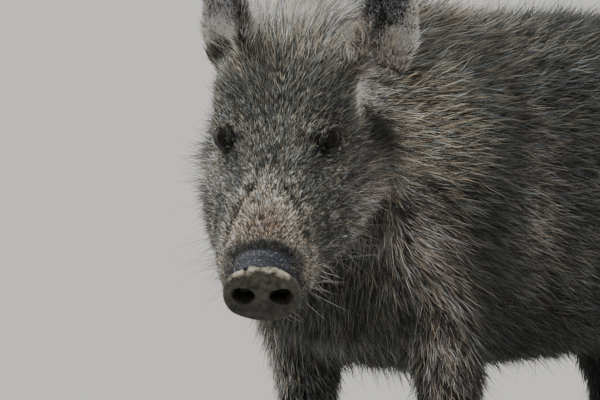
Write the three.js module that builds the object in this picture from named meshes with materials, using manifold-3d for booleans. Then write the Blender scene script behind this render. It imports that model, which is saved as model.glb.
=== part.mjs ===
// A young wild boar, about a year old, standing still with its head turned a little to its left.
// Life size, in millimetres. +Z is up, the body faces -Y, and the animal's left side is +X.
// The solids give the outline out to the tips of the coat. Each body part is a loft through
// rings that stand at anatomical landmarks, and neighbours meet with a gap too thin to see.

import * as THREE from "three";
import { LoftGeometry } from "three/addons/geometries/LoftGeometry.js";
import { mergeVertices } from "three/addons/utils/BufferGeometryUtils.js";
import Module from "manifold-3d";

const wasm = await Module();
wasm.setup();

// Driving dimensions ----------------------------------------------------------------------

const gap = 0.3; // between neighbouring solids
const bodySides = 36; // facets round the head, neck and trunk
const legSides = 12; // round a leg

const hoofHeight = 37;
const dewclaw = { lean: THREE.MathUtils.degToRad(24), tipHeight: 40, behind: 25, apart: 12.5 };
const foot = { apart: 13.2, halfWidth: 11.6, halfLength: 25 }; // one toe of a cloven foot

// The head has its own frame: x to its left, y backwards from the face of the snout disc, and z
// up from the middle of that disc. It hangs on the neck at its last ring.
const headLength = 305;
const headHang = new THREE.Vector3(0, headLength, 25);
const headPlace = new THREE.Vector3(39, -450, 564);
const headPitch = THREE.MathUtils.degToRad(22); // nose down
const headYaw = THREE.MathUtils.degToRad(29); // nose to its left
const snoutBend = { sideways: 5.5, length: 180 }; // the tip of the snout, flexed to its left

const discThickness = 13;
const eye = { x: 44.5, y: 193, z: 56.5, radius: 12.5 };

// Landmarks. "at" is the distance along the part, "level" the height of the widest place,
// "half" the half width there, "top" and "bottom" the heights of the upper and lower outline,
// and the two shapes say how square the ring is above and below (2 is an ellipse).

const headLandmarks = [
  { at: 13, level: 0, half: 31, top: 24.5, bottom: -24, upper: 2.3, lower: 2.2 }, // behind the disc
  { at: 30, level: -2, half: 36, top: 30, bottom: -32, upper: 2.3, lower: 2.2 }, // lips
  { at: 60, level: -6, half: 43, top: 38, bottom: -39, upper: 2.2, lower: 2.3 }, // chin
  { at: 100, level: -12, half: 52, top: 48, bottom: -45, upper: 2.1, lower: 2.4 }, // mid muzzle
  { at: 140, level: -19, half: 60, top: 61, bottom: -52, upper: 2.1, lower: 2.6 }, // cheek front
  { at: 170, level: -23, half: 66, top: 75, bottom: -59, upper: 2.2, lower: 2.7 }, // below the eye
  { at: 200, level: -22, half: 70, top: 91, bottom: -65, upper: 2.6, lower: 2.7 }, // brow
  { at: 230, level: -12, half: 72.5, top: 107, bottom: -70, upper: 3.0, lower: 2.6 }, // forehead
  { at: 262, level: 4, half: 74.5, top: 119, bottom: -74, upper: 3.0, lower: 2.5 }, // ears
  { at: headLength, level: 14, half: 76, top: 130, bottom: -78, upper: 2.5, lower: 2.3 }, // nape
];

const trunkLandmarks = [
  { at: -345, level: 455, half: 101, top: 653, bottom: 334, upper: 1.9, lower: 2.2 }, // chest
  { at: -255, level: 440, half: 124, top: 653, bottom: 298, upper: 1.9, lower: 2.3 }, // withers
  { at: -150, level: 428, half: 124, top: 641, bottom: 289, upper: 1.95, lower: 2.3 }, // girth
  { at: -50, level: 424, half: 129, top: 634, bottom: 283, upper: 2.0, lower: 2.3 }, // ribs
  { at: 50, level: 424, half: 131, top: 630, bottom: 279, upper: 2.1, lower: 2.3 }, // belly
  { at: 150, level: 432, half: 124, top: 621, bottom: 290, upper: 2.1, lower: 2.2 }, // flank
  { at: 245, level: 450, half: 113, top: 608, bottom: 325, upper: 2.1, lower: 2.2 }, // hips
  { at: 320, level: 462, half: 97, top: 584, bottom: 366, upper: 2.1, lower: 2.1 }, // croup
  { at: 365, level: 468, half: 72, top: 556, bottom: 396, upper: 2.0, lower: 2.0 }, // buttocks
  { at: 388, level: 474, half: 42, top: 524, bottom: 428, upper: 2.0, lower: 2.0 },
  { at: 395, level: 477, half: 16, top: 495, bottom: 459, upper: 2.0, lower: 2.0 },
];

// Legs go down from inside the trunk. "at" is the height, "out" and "y" the middle of the ring,
// "side" and "fore" its half width and half length.

const forelegLandmarks = [
  { at: 405, out: 86, y: -292, side: 35, fore: 40 }, // upper arm
  { at: 375, out: 89, y: -287, side: 37, fore: 42 },
  { at: 335, out: 90, y: -275, side: 36, fore: 44 },
  { at: 298, out: 88, y: -260, side: 32, fore: 45 }, // elbow
  { at: 265, out: 87, y: -260, side: 29, fore: 36 },
  { at: 225, out: 86, y: -263, side: 27, fore: 30.5 }, // forearm
  { at: 183, out: 85, y: -265, side: 25, fore: 26 }, // wrist
  { at: 148, out: 84, y: -264, side: 20, fore: 21 },
  { at: 105, out: 82, y: -261, side: 17.5, fore: 18.5 }, // cannon
  { at: 78, out: 81, y: -262, side: 20.5, fore: 22.5 }, // fetlock
  { at: 57, out: 80, y: -268, side: 20, fore: 21 },
  { at: hoofHeight + gap, out: 80, y: -274, side: 23.5, fore: 22.5 }, // coronet
];

const hindlegLandmarks = [
  { at: 505, out: 74, y: 262, side: 36, fore: 74 }, // hip
  { at: 435, out: 86, y: 261, side: 45, fore: 99 },
  { at: 370, out: 91, y: 255, side: 45, fore: 94 }, // thigh
  { at: 310, out: 89, y: 260, side: 38, fore: 70 }, // stifle
  { at: 260, out: 86, y: 289, side: 31, fore: 45 },
  { at: 216, out: 83, y: 313, side: 25.5, fore: 36 }, // hock
  { at: 185, out: 82, y: 317, side: 21.5, fore: 28 },
  { at: 140, out: 81, y: 308, side: 18.5, fore: 21 }, // cannon
  { at: 105, out: 80, y: 299, side: 18, fore: 19.5 },
  { at: 78, out: 80, y: 293, side: 20.5, fore: 22.5 }, // fetlock
  { at: 57, out: 80, y: 284, side: 20, fore: 21 },
  { at: hoofHeight + gap, out: 80, y: 277, side: 23.5, fore: 22.5 }, // coronet
];

// How far each foot stands behind or ahead of square.
const stance = {
  foreleg_left: { landmarks: forelegLandmarks, side: 1, step: -10, toeOut: 6 },
  foreleg_right: { landmarks: forelegLandmarks, side: -1, step: 15, toeOut: 6 },
  hindleg_left: { landmarks: hindlegLandmarks, side: 1, step: 34, toeOut: 8 },
  hindleg_right: { landmarks: hindlegLandmarks, side: -1, step: -58, toeOut: 8 },
};

// Swellings and hollows of the surface: where, how far they reach and how high they stand.

const headBulges = [
  { x: 46, y: 208, z: 86, reach: 17, height: 3 }, // brow
  { x: 70, y: 246, z: 86, reach: 28, height: 5 }, // temple
  { x: 54, y: 170, z: 44, reach: 20, height: -6 }, // hollow before the eye
  { x: 66, y: 202, z: 46, reach: 22, height: -6 }, // hollow behind the eye
  { x: 78, y: 248, z: 38, reach: 30, height: -9 }, // hollow below the ear
  { x: 44, y: 112, z: 14, reach: 24, height: -5 }, // groove along the muzzle
  { x: 36, y: 62, z: -10, reach: 24, height: 2 }, // upper lip
  { x: 0, y: 42, z: -36, reach: 20, height: 3 }, // chin
];

const trunkBulges = [
  { x: 122, y: -270, z: 520, reach: 85, height: 8 }, // shoulder blade
  { x: 112, y: -325, z: 405, reach: 70, height: 12 }, // point of the shoulder
  { x: 124, y: -165, z: 375, reach: 60, height: -8 }, // hollow behind the elbow
  { x: 126, y: 150, z: 440, reach: 60, height: -7 }, // hollow of the flank
  { x: 112, y: 265, z: 470, reach: 95, height: 8 }, // haunch
];

// Making solids -----------------------------------------------------------------------------

// Carries every named number of a list of landmarks smoothly from one to the next.
function between(landmarks, places) {
  const names = Object.keys(landmarks[0]).filter((name) => name !== "at");
  const rising = [...landmarks].sort((a, b) => a.at - b.at);
  const values = rising.flatMap((landmark) => names.map((name) => landmark[name]));
  const track = new THREE.CubicInterpolant(
    rising.map((landmark) => landmark.at),
    values,
    names.length,
    new Float32Array(names.length),
  );
  return places.map((at) => {
    const found = [...track.evaluate(at)];
    return Object.fromEntries([["at", at], ...names.map((name, i) => [name, found[i]])]);
  });
}

const spaced = (from, to, count) =>
  Array.from({ length: count }, (_, i) => from + ((to - from) * i) / (count - 1));

// A ring that is an ellipse or squarer, in the plane of two directions.
function ringOf(sides, centre, sideways, upwards, shape) {
  return spaced(0, 2 * Math.PI, sides + 1)
    .slice(0, sides)
    .map((angle) => {
      const [s, c] = [Math.sin(angle), Math.cos(angle)];
      const power = 2 / (c > 0 ? shape.upper : shape.lower);
      const across = Math.sign(s) * Math.abs(s) ** power * shape.half;
      const up = Math.sign(c) * Math.abs(c) ** power * (c > 0 ? shape.above : shape.below);
      return centre.clone().addScaledVector(sideways, across).addScaledVector(upwards, up);
    });
}

const xAxis = new THREE.Vector3(1, 0, 0);
const yAxis = new THREE.Vector3(0, 1, 0);
const zAxis = new THREE.Vector3(0, 0, 1);

// Pushes a point out from the middle of its ring by the bulges near it, on both sides alike.
function bulged(point, middle, bulges) {
  const push = bulges.reduce((sum, b) => {
    const away = Math.hypot(Math.abs(point.x) - b.x, point.y - b.y, point.z - b.z);
    return sum + b.height * Math.exp(-((away / b.reach) ** 2));
  }, 0);
  return point.addScaledVector(point.clone().sub(middle).normalize(), push);
}

// The upright rings of the head or trunk. "grow" makes the same shape a little larger.
function barrel(landmarks, places, bulges, grow = 0) {
  return between(landmarks, places).map((l) => {
    const middle = new THREE.Vector3(0, l.at, l.level);
    const shape = {
      half: l.half + grow,
      above: l.top - l.level + grow,
      below: l.level - l.bottom + grow,
      upper: l.upper,
      lower: l.lower,
    };
    return ringOf(bodySides, middle, xAxis, zAxis, shape).map((p) => bulged(p, middle, bulges));
  });
}

// A closed solid through the rings, which may be given in either turning sense.
function loft(rings) {
  const [first, next] = rings;
  const middle = (ring) => ring.reduce((sum, p) => sum.add(p), new THREE.Vector3());
  const ahead = middle(next).sub(middle(first));
  const normal = new THREE.Vector3();
  first.forEach((p, i) => normal.add(p.clone().cross(first[(i + 1) % first.length])));
  const turned = normal.dot(ahead) < 0 ? rings.map((ring) => [...ring].reverse()) : rings;
  return new LoftGeometry(turned, { capStart: true, capEnd: true });
}

function solid(geometry) {
  const bare = new THREE.BufferGeometry();
  bare.setAttribute("position", geometry.getAttribute("position"));
  if (geometry.index) bare.setIndex(geometry.index);
  const merged = mergeVertices(bare, 1e-3);
  const corners = Array.from(merged.index.array);
  const kept = [];
  for (let i = 0; i < corners.length; i += 3) {
    const [a, b, c] = corners.slice(i, i + 3);
    if (a !== b && b !== c && c !== a) kept.push(a, b, c);
  }
  const mesh = new wasm.Mesh({
    numProp: 3,
    vertProperties: merged.attributes.position.array,
    triVerts: new Uint32Array(kept),
  });
  return new wasm.Manifold(mesh);
}

function geometryOf(manifold) {
  const mesh = manifold.getMesh();
  const geometry = new THREE.BufferGeometry();
  geometry.setAttribute("position", new THREE.BufferAttribute(mesh.vertProperties, 3));
  geometry.setIndex(new THREE.BufferAttribute(mesh.triVerts, 1));
  geometry.computeVertexNormals();
  return geometry;
}

// The head's frame in the animal's frame.
const headMatrix = new THREE.Matrix4()
  .makeTranslation(headPlace)
  .multiply(new THREE.Matrix4().makeRotationFromEuler(new THREE.Euler(headPitch, 0, headYaw, "ZYX")))
  .multiply(new THREE.Matrix4().makeTranslation(headHang.clone().negate()));

// Head ----------------------------------------------------------------------------------------

const headPlaces = [...spaced(discThickness + gap, 146, 11), ...spaced(158, headLength, 14)];

// Flexes the snout sideways, more and more towards its tip.
function flexed(point) {
  const reach = Math.max(0, 1 - point.y / snoutBend.length);
  return point.setX(point.x + snoutBend.sideways * reach ** 2);
}

const headRings = (grow = 0) =>
  barrel(headLandmarks, headPlaces, headBulges, grow).map((ring) => ring.map(flexed));

function eyeball(side, grow = 0) {
  return new THREE.SphereGeometry(eye.radius + grow, 12, 9)
    .rotateZ((side * Math.PI) / 4)
    .translate(side * eye.x, eye.y, eye.z);
}

// What lies below the line of the mouth and before the angle of the jaw, seen from the side.
function jawBlock(grow) {
  const outline = new THREE.Shape();
  outline.moveTo(0, -17 + grow);
  outline.quadraticCurveTo(60, -12 + grow, 128, -22 + grow); // lips
  outline.lineTo(138 + grow, -30); // corner of the mouth
  outline.lineTo(200 + grow, -100);
  outline.lineTo(0, -100);
  return new THREE.ExtrudeGeometry(outline, { depth: 240, bevelEnabled: false, curveSegments: 8 })
    .rotateX(Math.PI / 2)
    .rotateZ(Math.PI / 2)
    .translate(-120, 0, 0);
}

function headParts() {
  const whole = solid(loft(headRings()));
  const jaw = whole.intersect(solid(jawBlock(0)));
  const sockets = [1, -1].map((side) => solid(eyeball(side, gap)));
  const skull = sockets.reduce(
    (rest, socket) => rest.subtract(socket),
    whole.subtract(solid(jawBlock(gap))),
  );
  return { head: skull, lower_jaw: jaw };
}

// The flat disc at the end of the snout, with a rounded rim and two nostrils.
function snoutDisc() {
  const rim = [
    { at: 0, size: 0.78 },
    { at: 1.6, size: 0.91 },
    { at: 5, size: 1 },
    { at: 9, size: 0.97 },
    { at: discThickness, size: 0.86 },
  ];
  const rings = rim.map(({ at, size }) =>
    ringOf(26, new THREE.Vector3(0, at, 0), xAxis, zAxis, {
      half: 35 * size,
      above: 26 * size,
      below: 25.5 * size,
      upper: 2.3,
      lower: 2.1,
    }).map(flexed),
  );
  const nostril = (side) =>
    new THREE.SphereGeometry(1, 12, 8)
      .scale(8.4, 11, 6.4)
      .rotateY(side * 0.25)
      .translate(side * 17 + snoutBend.sideways, 0, 0);
  return [1, -1].reduce((disc, side) => disc.subtract(solid(nostril(side))), solid(loft(rings)));
}

// Ears: a cupped leaf. Each ring is a crescent whose hollow faces forwards and outwards.

const earLandmarks = [
  { at: 0, half: 26, cup: 24, wall: 13 },
  { at: 0.15, half: 28.5, cup: 25, wall: 12 },
  { at: 0.4, half: 29.5, cup: 20, wall: 11 },
  { at: 0.65, half: 25, cup: 12, wall: 10 },
  { at: 0.85, half: 16, cup: 5, wall: 8.5 },
  { at: 0.96, half: 8, cup: 1, wall: 7 },
  { at: 1, half: 3.5, cup: 0, wall: 4.5 },
];

// The left ear is let out sideways a little, the right one stands straight up.
const earSet = {
  left: {
    line: [
      [81, 272, 84],
      [93, 271, 121],
      [100, 266, 161],
      [104, 258, 206],
    ],
    opening: [0.4, -0.92, 0],
  },
  right: {
    line: [
      [-50, 268, 88],
      [-52, 271, 130],
      [-53, 271, 174],
      [-52, 265, 218],
    ],
    opening: [-0.62, -0.78, 0],
  },
};

function ear({ line, opening }) {
  const spine = new THREE.CatmullRomCurve3(line.map((p) => new THREE.Vector3(...p)));
  const facing = new THREE.Vector3(...opening).normalize();
  const rings = between(earLandmarks, spaced(0, 1, 9)).map((l) => {
    const along = spine.getTangent(l.at);
    const across = facing.clone().cross(along).normalize();
    const back = along.clone().cross(across).normalize();
    if (back.dot(facing) > 0) back.negate();
    const middle = spine.getPoint(l.at).addScaledVector(back, -l.cup / 2);
    const edge = (share, depth) =>
      middle
        .clone()
        .addScaledVector(across, share * l.half)
        .addScaledVector(back, depth + l.cup * (1 - share * share));
    const outside = spaced(-1, 1, 8).map((share) => edge(share, l.wall / 2));
    const inside = spaced(0.85, -0.85, 6).map((share) => edge(share, -l.wall / 2));
    return [...outside, ...inside];
  });
  return solid(loft(rings));
}

// Neck ----------------------------------------------------------------------------------------

// Runs from the last ring of the head to the first ring of the trunk. Each facet follows a
// curve that leaves both rings square to them.
function neckRings(first, last) {
  const headAway = yAxis.clone().transformDirection(headMatrix);
  return spaced(0.002, 0.998, 8).map((t) =>
    first.map((from, i) => {
      const to = last[i];
      const pull = from.distanceTo(to) * 0.9;
      const [a, b] = [(1 + 2 * t) * (1 - t) ** 2, t * t * (3 - 2 * t)];
      const [c, d] = [t * (1 - t) ** 2, t * t * (t - 1)];
      return new THREE.Vector3()
        .addScaledVector(from, a)
        .addScaledVector(to, b)
        .addScaledVector(headAway, c * pull)
        .addScaledVector(yAxis, d * pull);
    }),
  );
}

// Trunk and tail --------------------------------------------------------------------------------

const trunkPlaces = [...spaced(-345, 320, 17), 345, 365, 379, 389, 395];
const trunkRings = (grow = 0) => barrel(trunkLandmarks, trunkPlaces, trunkBulges, grow);

function tail() {
  const line = new THREE.CatmullRomCurve3([
    new THREE.Vector3(0, 362, 538),
    new THREE.Vector3(0, 396, 520),
    new THREE.Vector3(3, 416, 470),
    new THREE.Vector3(7, 422, 400),
    new THREE.Vector3(8, 420, 322),
  ]);
  const sizes = [
    { at: 0, radius: 17 },
    { at: 0.25, radius: 14 },
    { at: 0.55, radius: 9.5 },
    { at: 0.75, radius: 13 },
    { at: 0.9, radius: 11 },
    { at: 1, radius: 3 },
  ];
  const rings = between(sizes, spaced(0, 1, 11)).map(({ at, radius }) => {
    const along = line.getTangent(at);
    const back = xAxis.clone().cross(along).negate().normalize();
    const round = { half: radius, above: radius, below: radius, upper: 2, lower: 2 };
    return ringOf(8, line.getPoint(at), xAxis, back, round);
  });
  return solid(loft(rings));
}

// Legs and feet -----------------------------------------------------------------------------------

const hipHeight = 500;

function legMiddle(leg, landmark) {
  const lean = leg.step * (1 - landmark.at / hipHeight);
  return new THREE.Vector3(leg.side * landmark.out, landmark.y + lean, landmark.at);
}

function legSolid(leg, grow = 0) {
  const top = leg.landmarks[0].at;
  const bottom = leg.landmarks.at(-1).at - grow;
  const places = [...spaced(top, 100, 12), 88, 78, 67, 57, 47, bottom];
  const rings = between(leg.landmarks, places).map((l) =>
    ringOf(legSides, legMiddle(leg, l), xAxis, yAxis, {
      half: l.side + grow,
      above: l.fore + grow,
      below: l.fore + grow,
      upper: 2.1,
      lower: 2.1,
    }),
  );
  return solid(loft(rings));
}

const footMiddle = (leg) => legMiddle(leg, leg.landmarks.at(-1)).setZ(0);

// One toe: flat underneath, straight on the side that faces its neighbour, sloping in front.
function hoof(leg, toe) {
  const levels = [
    { at: 0, length: 1, lean: 0 },
    { at: 3, length: 1.06, lean: 0 },
    { at: hoofHeight * 0.55, length: 0.92, lean: 3 },
    { at: hoofHeight, length: 0.8, lean: 7 },
  ];
  const rings = levels.map(({ at, length, lean }) =>
    ringOf(10, new THREE.Vector3(0, lean - 4, at), xAxis, yAxis.clone().negate(), {
      half: foot.halfWidth * (0.75 + 0.25 * length),
      above: foot.halfLength * length,
      below: foot.halfLength * 0.8 * length,
      upper: 1.9,
      lower: 2.4,
    }),
  );
  const turn = new THREE.Matrix4().makeRotationZ(
    THREE.MathUtils.degToRad(leg.side * leg.toeOut + toe * 5),
  );
  const place = footMiddle(leg).add(new THREE.Vector3(toe * foot.apart, 0, 0));
  return solid(loft(rings).applyMatrix4(turn.setPosition(place)));
}

// The small hind toes, which grow from the back of the fetlock and point down, clear of the ground.
function dewclawSolid(leg, toe) {
  const profile = [
    [0, 0],
    [5.5, 2],
    [9, 12],
    [8.5, 27],
    [0, 33],
  ].map(([r, z]) => new THREE.Vector2(r, z));
  const fetlock = leg.landmarks.at(-3);
  const tip = legMiddle(leg, fetlock)
    .add(new THREE.Vector3(toe * dewclaw.apart, dewclaw.behind, 0))
    .setZ(dewclaw.tipHeight);
  const geometry = new THREE.LatheGeometry(profile, 8)
    .rotateX(Math.PI / 2 + dewclaw.lean)
    .translate(tip.x, tip.y, tip.z);
  return solid(geometry);
}

// The animal ------------------------------------------------------------------------------------------

const colours = {
  coat: new THREE.MeshStandardMaterial({ color: 0x5a5148, roughness: 0.85, metalness: 0 }),
  darkCoat: new THREE.MeshStandardMaterial({ color: 0x2c2620, roughness: 0.85, metalness: 0 }),
  snout: new THREE.MeshStandardMaterial({ color: 0x4f443b, roughness: 0.55, metalness: 0 }),
  eye: new THREE.MeshStandardMaterial({ color: 0x1c120c, roughness: 0.08, metalness: 0 }),
  horn: new THREE.MeshStandardMaterial({ color: 0x2a241f, roughness: 0.5, metalness: 0 }),
};

const boar = new THREE.Group();

function add(name, manifold, material, matrix) {
  const mesh = new THREE.Mesh(geometryOf(manifold), material);
  mesh.name = name;
  if (matrix) mesh.applyMatrix4(matrix);
  boar.add(mesh);
}

const headSolids = headParts();
const headGrown = solid(loft(headRings(gap)));
for (const [name, part] of Object.entries(headSolids)) add(name, part, colours.coat, headMatrix);
add("snout_disc", snoutDisc(), colours.snout, headMatrix);

const trunkStart = trunkRings()[0];
const headEnd = headRings().at(-1).map((p) => p.applyMatrix4(headMatrix));
const neck = solid(loft(neckRings(headEnd, trunkStart)));
add("neck", neck, colours.coat);

const trunk = solid(loft(trunkRings()));
const trunkGrown = solid(loft(trunkRings(gap)));
add("trunk", trunk, colours.coat);
add("tail", tail().subtract(trunkGrown), colours.darkCoat);

for (const [word, side] of [
  ["left", 1],
  ["right", -1],
]) {
  add("ear_" + word, ear(earSet[word]).subtract(headGrown), colours.darkCoat, headMatrix);
  add("eye_" + word, solid(eyeball(side)), colours.eye, headMatrix);
}

for (const [name, leg] of Object.entries(stance)) {
  const whole = legSolid(leg);
  add(name, whole.subtract(trunkGrown), colours.darkCoat);
  for (const [word, toe] of [
    ["inner", -leg.side],
    ["outer", leg.side],
  ]) {
    add(`${name}_hoof_${word}`, hoof(leg, toe), colours.horn);
    add(`${name}_dewclaw_${word}`, dewclawSolid(leg, toe).subtract(legSolid(leg, gap)), colours.horn);
  }
}

// The animal's frame has its origin on the ground, under the middle of what it covers.
const bounds = new THREE.Box3().setFromObject(boar, true);
const middle = bounds.getCenter(new THREE.Vector3());
boar.position.set(-middle.x, -middle.y, -bounds.min.z);

export default boar;
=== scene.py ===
"""A young wild boar as a still, life-size museum model: skin, coat, snout, eyes and feet."""

import math
from contextlib import contextmanager

import bmesh
import bpy
import numpy as np
from mathutils import Matrix, Vector
from mathutils.bvhtree import BVHTree


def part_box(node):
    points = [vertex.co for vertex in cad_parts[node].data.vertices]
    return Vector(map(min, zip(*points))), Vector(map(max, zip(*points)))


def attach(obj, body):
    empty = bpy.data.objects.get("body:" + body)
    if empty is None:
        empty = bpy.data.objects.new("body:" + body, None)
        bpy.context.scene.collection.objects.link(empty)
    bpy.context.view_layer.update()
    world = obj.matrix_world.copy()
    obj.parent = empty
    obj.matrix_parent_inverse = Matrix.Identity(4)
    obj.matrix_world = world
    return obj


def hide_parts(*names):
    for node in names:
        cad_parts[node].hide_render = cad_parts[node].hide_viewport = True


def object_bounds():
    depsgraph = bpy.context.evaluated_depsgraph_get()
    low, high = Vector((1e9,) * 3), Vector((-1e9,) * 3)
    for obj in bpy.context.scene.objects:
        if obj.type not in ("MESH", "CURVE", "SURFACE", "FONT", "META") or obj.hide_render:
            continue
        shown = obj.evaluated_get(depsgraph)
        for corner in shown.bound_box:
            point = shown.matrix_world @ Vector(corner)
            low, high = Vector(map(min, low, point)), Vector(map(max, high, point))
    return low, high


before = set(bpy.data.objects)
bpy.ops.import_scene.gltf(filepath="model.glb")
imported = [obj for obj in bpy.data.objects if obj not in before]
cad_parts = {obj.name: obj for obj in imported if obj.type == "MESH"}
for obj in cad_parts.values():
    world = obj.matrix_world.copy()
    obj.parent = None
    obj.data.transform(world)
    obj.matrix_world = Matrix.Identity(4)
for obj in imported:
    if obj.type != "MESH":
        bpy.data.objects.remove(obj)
cad_box = [list(corner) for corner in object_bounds()]

MM = 0.001

# Camera -------------------------------------------------------------------------------------------

trunk_low, trunk_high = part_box("trunk")
midline = (trunk_low.x + trunk_high.x) / 2
chest = trunk_low.y


def placed(name, data):
    """Puts a new object in the scene."""
    obj = bpy.data.objects.new(name, data)
    bpy.context.scene.collection.objects.link(obj)
    return obj


def centre_of(node):
    low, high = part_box(node)
    return (low + high) / 2


CAMERA_AZIMUTH, CAMERA_ELEVATION, CAMERA_DISTANCE = math.radians(36), math.radians(6.5), 5.2
CAMERA_LENS, SENSOR_WIDTH = 344.8, 36
CAMERA_RIGHT, CAMERA_DOWN = 0.01995, 0.05619  # from between the eyes


def long_lens_camera():
    azimuth, elevation = CAMERA_AZIMUTH, CAMERA_ELEVATION
    back = Vector((
        math.sin(azimuth) * math.cos(elevation),
        -math.cos(azimuth) * math.cos(elevation),
        math.sin(elevation),
    ))
    right = Vector((math.cos(azimuth), math.sin(azimuth), 0))
    up = back.cross(right)
    between_eyes = (centre_of("eye_left") + centre_of("eye_right")) / 2
    data = bpy.data.cameras.new("long_lens")
    data.sensor_width, data.lens, data.clip_end = SENSOR_WIDTH, CAMERA_LENS, 200
    camera = placed("long_lens", data)
    place = between_eyes + CAMERA_RIGHT * right - CAMERA_DOWN * up + CAMERA_DISTANCE * back
    camera.matrix_world = Matrix.LocRotScale(
        place, Matrix((right, up, back)).transposed().to_quaternion(), None
    )
    bpy.context.scene.camera = camera


long_lens_camera()

# The head's frame ---------------------------------------------------------------------------------
# x to its left, y backwards from the face of the snout disc, z up from the middle of that disc.

HEAD_PLACE = np.array((midline + 0.039, chest - 0.105, 0.564))
HEAD_HANG = np.array((0, 0.305, 0.025))
HEAD_PITCH, HEAD_YAW = math.radians(22), math.radians(29)
SNOUT_FLEX, SNOUT_FLEX_LENGTH = 0.0055, 0.180
HEAD_TURN = np.array(
    Matrix.Rotation(HEAD_YAW, 3, "Z") @ Matrix.Rotation(HEAD_PITCH, 3, "X")
)
SIDES = (1, -1)  # left and right, along the head's x
EYE_AT = np.array((0.0445, 0.193, 0.0565))
EYE_RADIUS = 0.0125


def snout_flex(y):
    return SNOUT_FLEX * np.clip(1 - y / SNOUT_FLEX_LENGTH, 0, None) ** 2


def to_head(points):
    found = (np.asarray(points) - HEAD_PLACE) @ HEAD_TURN + HEAD_HANG
    found[..., 0] -= snout_flex(found[..., 1])
    return found


def from_head(points):
    found = np.array(points, float)
    found[..., 0] += snout_flex(found[..., 1])
    return (found - HEAD_HANG) @ HEAD_TURN.T + HEAD_PLACE


# Small tools --------------------------------------------------------------------------------------


def along_table(value, *rows):
    """Reads a table of (place, amount) rows at each value."""
    places, amounts = zip(*rows)
    return np.interp(value, places, amounts)


def ease(value, start, end):
    """A smooth step from 0 at start to 1 at end."""
    t = np.clip((value - start) / (end - start), 0, 1)
    return t * t * (3 - 2 * t)


def unit(vectors):
    length = np.linalg.norm(vectors, axis=-1, keepdims=True)
    return vectors / np.maximum(length, 1e-9)


def blob(points, centre, size):
    """1 at the centre of an ellipsoid, fading smoothly to 0 outside it."""
    away = (points - np.array(centre)) / np.array(size)
    return np.exp(-(away**2).sum(-1))


def hump(value, centre, width):
    """1 where value is centre, fading smoothly to 0 beyond the width on either side."""
    return np.exp(-(((value - centre) / width) ** 2))


def mirrored_left(points):
    """Both sides of the head laid over its left one."""
    return np.stack((np.abs(points[:, 0]), points[:, 1], points[:, 2]), axis=1)


def mesh_object(name, vertices, faces):
    mesh = bpy.data.meshes.new(name)
    mesh.from_pydata(vertices, [], faces)
    mesh.update()
    return placed(name, mesh)


def evaluated_mesh(obj):
    """The object's shape with its modifiers applied."""
    evaluated = obj.evaluated_get(bpy.context.evaluated_depsgraph_get())
    return bpy.data.meshes.new_from_object(evaluated)


@contextmanager
def editing(mesh):
    work = bmesh.new()
    work.from_mesh(mesh)
    yield work
    work.to_mesh(mesh)
    work.free()
    mesh.update()


def shade_smooth(mesh):
    mesh.polygons.foreach_set("use_smooth", [True] * len(mesh.polygons))


def all_of(items, key, width=1, kind=np.float32):
    """One property of every item, a row each."""
    found = np.empty(len(items) * width, kind)
    items.foreach_get(key, found)
    return found if width == 1 else found.reshape(-1, width)


def stored(mesh, name):
    return all_of(mesh.attributes[name].data, "value")


def corner_vertices(mesh):
    return all_of(mesh.loops, "vertex_index", kind=np.int32)


def places_of(mesh):
    return all_of(mesh.vertices, "co", 3).astype(float)


def put_places(mesh, co):
    mesh.vertices.foreach_set("co", co.astype(np.float32).ravel())
    mesh.update()


def normals_of(mesh):
    return all_of(mesh.vertex_normals, "vector", 3).astype(float)


def edges_of(mesh):
    return all_of(mesh.edges, "vertices", 2, np.int32)


def relaxed(values, edges, rounds, share=0.5):
    """Evens values out over the mesh, each vertex with its neighbours."""
    count = len(values)
    flat = values.reshape(count, -1).astype(float)
    a, b = edges[:, 0], edges[:, 1]
    degree = np.maximum(np.bincount(a, minlength=count) + np.bincount(b, minlength=count), 1)
    for _ in range(rounds):
        for k in range(flat.shape[1]):
            column = flat[:, k]
            total = np.bincount(a, column[b], count) + np.bincount(b, column[a], count)
            flat[:, k] += share * (total / degree - column)
    return flat.reshape(values.shape)


def store(mesh, name, values):
    """Writes a value or a vector for every vertex."""
    kind, key = ("FLOAT_VECTOR", "vector") if values.ndim == 2 else ("FLOAT", "value")
    attribute = mesh.attributes.get(name) or mesh.attributes.new(name, kind, "POINT")
    attribute.data.foreach_set(key, values.astype(np.float32).ravel())


# Skin ---------------------------------------------------------------------------------------------
# One closed skin, grown from the solids of flesh, then drawn in by the depth of the coat.

LEGS = ("foreleg_left", "foreleg_right", "hindleg_left", "hindleg_right")
PARTS = ("head", "neck", "trunk", "tail", "ear_left", "ear_right", *LEGS)
FLESH = (PARTS[0], "lower_jaw", *PARTS[1:])
SKIN_PITCH = 0.0036
OVERLAP = 0.0006
BODY_SHARE = 0.3  # of the faces kept behind the head
BEHIND_HEAD = HEAD_HANG[1] + 0.02
NEAR_EYE, AT_LIDS, AT_SNOUT = 0.025, 0.0205, 0.045  # where the skin is made finer


def merged_copy(node):
    """A CAD node's shape with its loose triangles joined."""
    work = bmesh.new()
    work.from_mesh(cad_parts[node].data)
    bmesh.ops.remove_doubles(work, verts=work.verts, dist=1e-6)
    return work


def skin_source():
    """All the flesh in one mesh, each solid grown a little so that neighbours overlap."""
    vertices, faces, owners = [], [], []
    for node in (*FLESH, "eye_left", "eye_right"):
        work = merged_copy(node)
        work.normal_update()
        first = len(vertices)
        vertices += [v.co + OVERLAP * v.normal for v in work.verts]
        work.verts.index_update()
        faces += [[first + v.index for v in f.verts] for f in work.faces]
        owner = "head" if node in ("lower_jaw", "eye_left", "eye_right") else node
        owners += [PARTS.index(owner)] * len(work.faces)
        work.free()
    return vertices, faces, np.array(owners)


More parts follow.
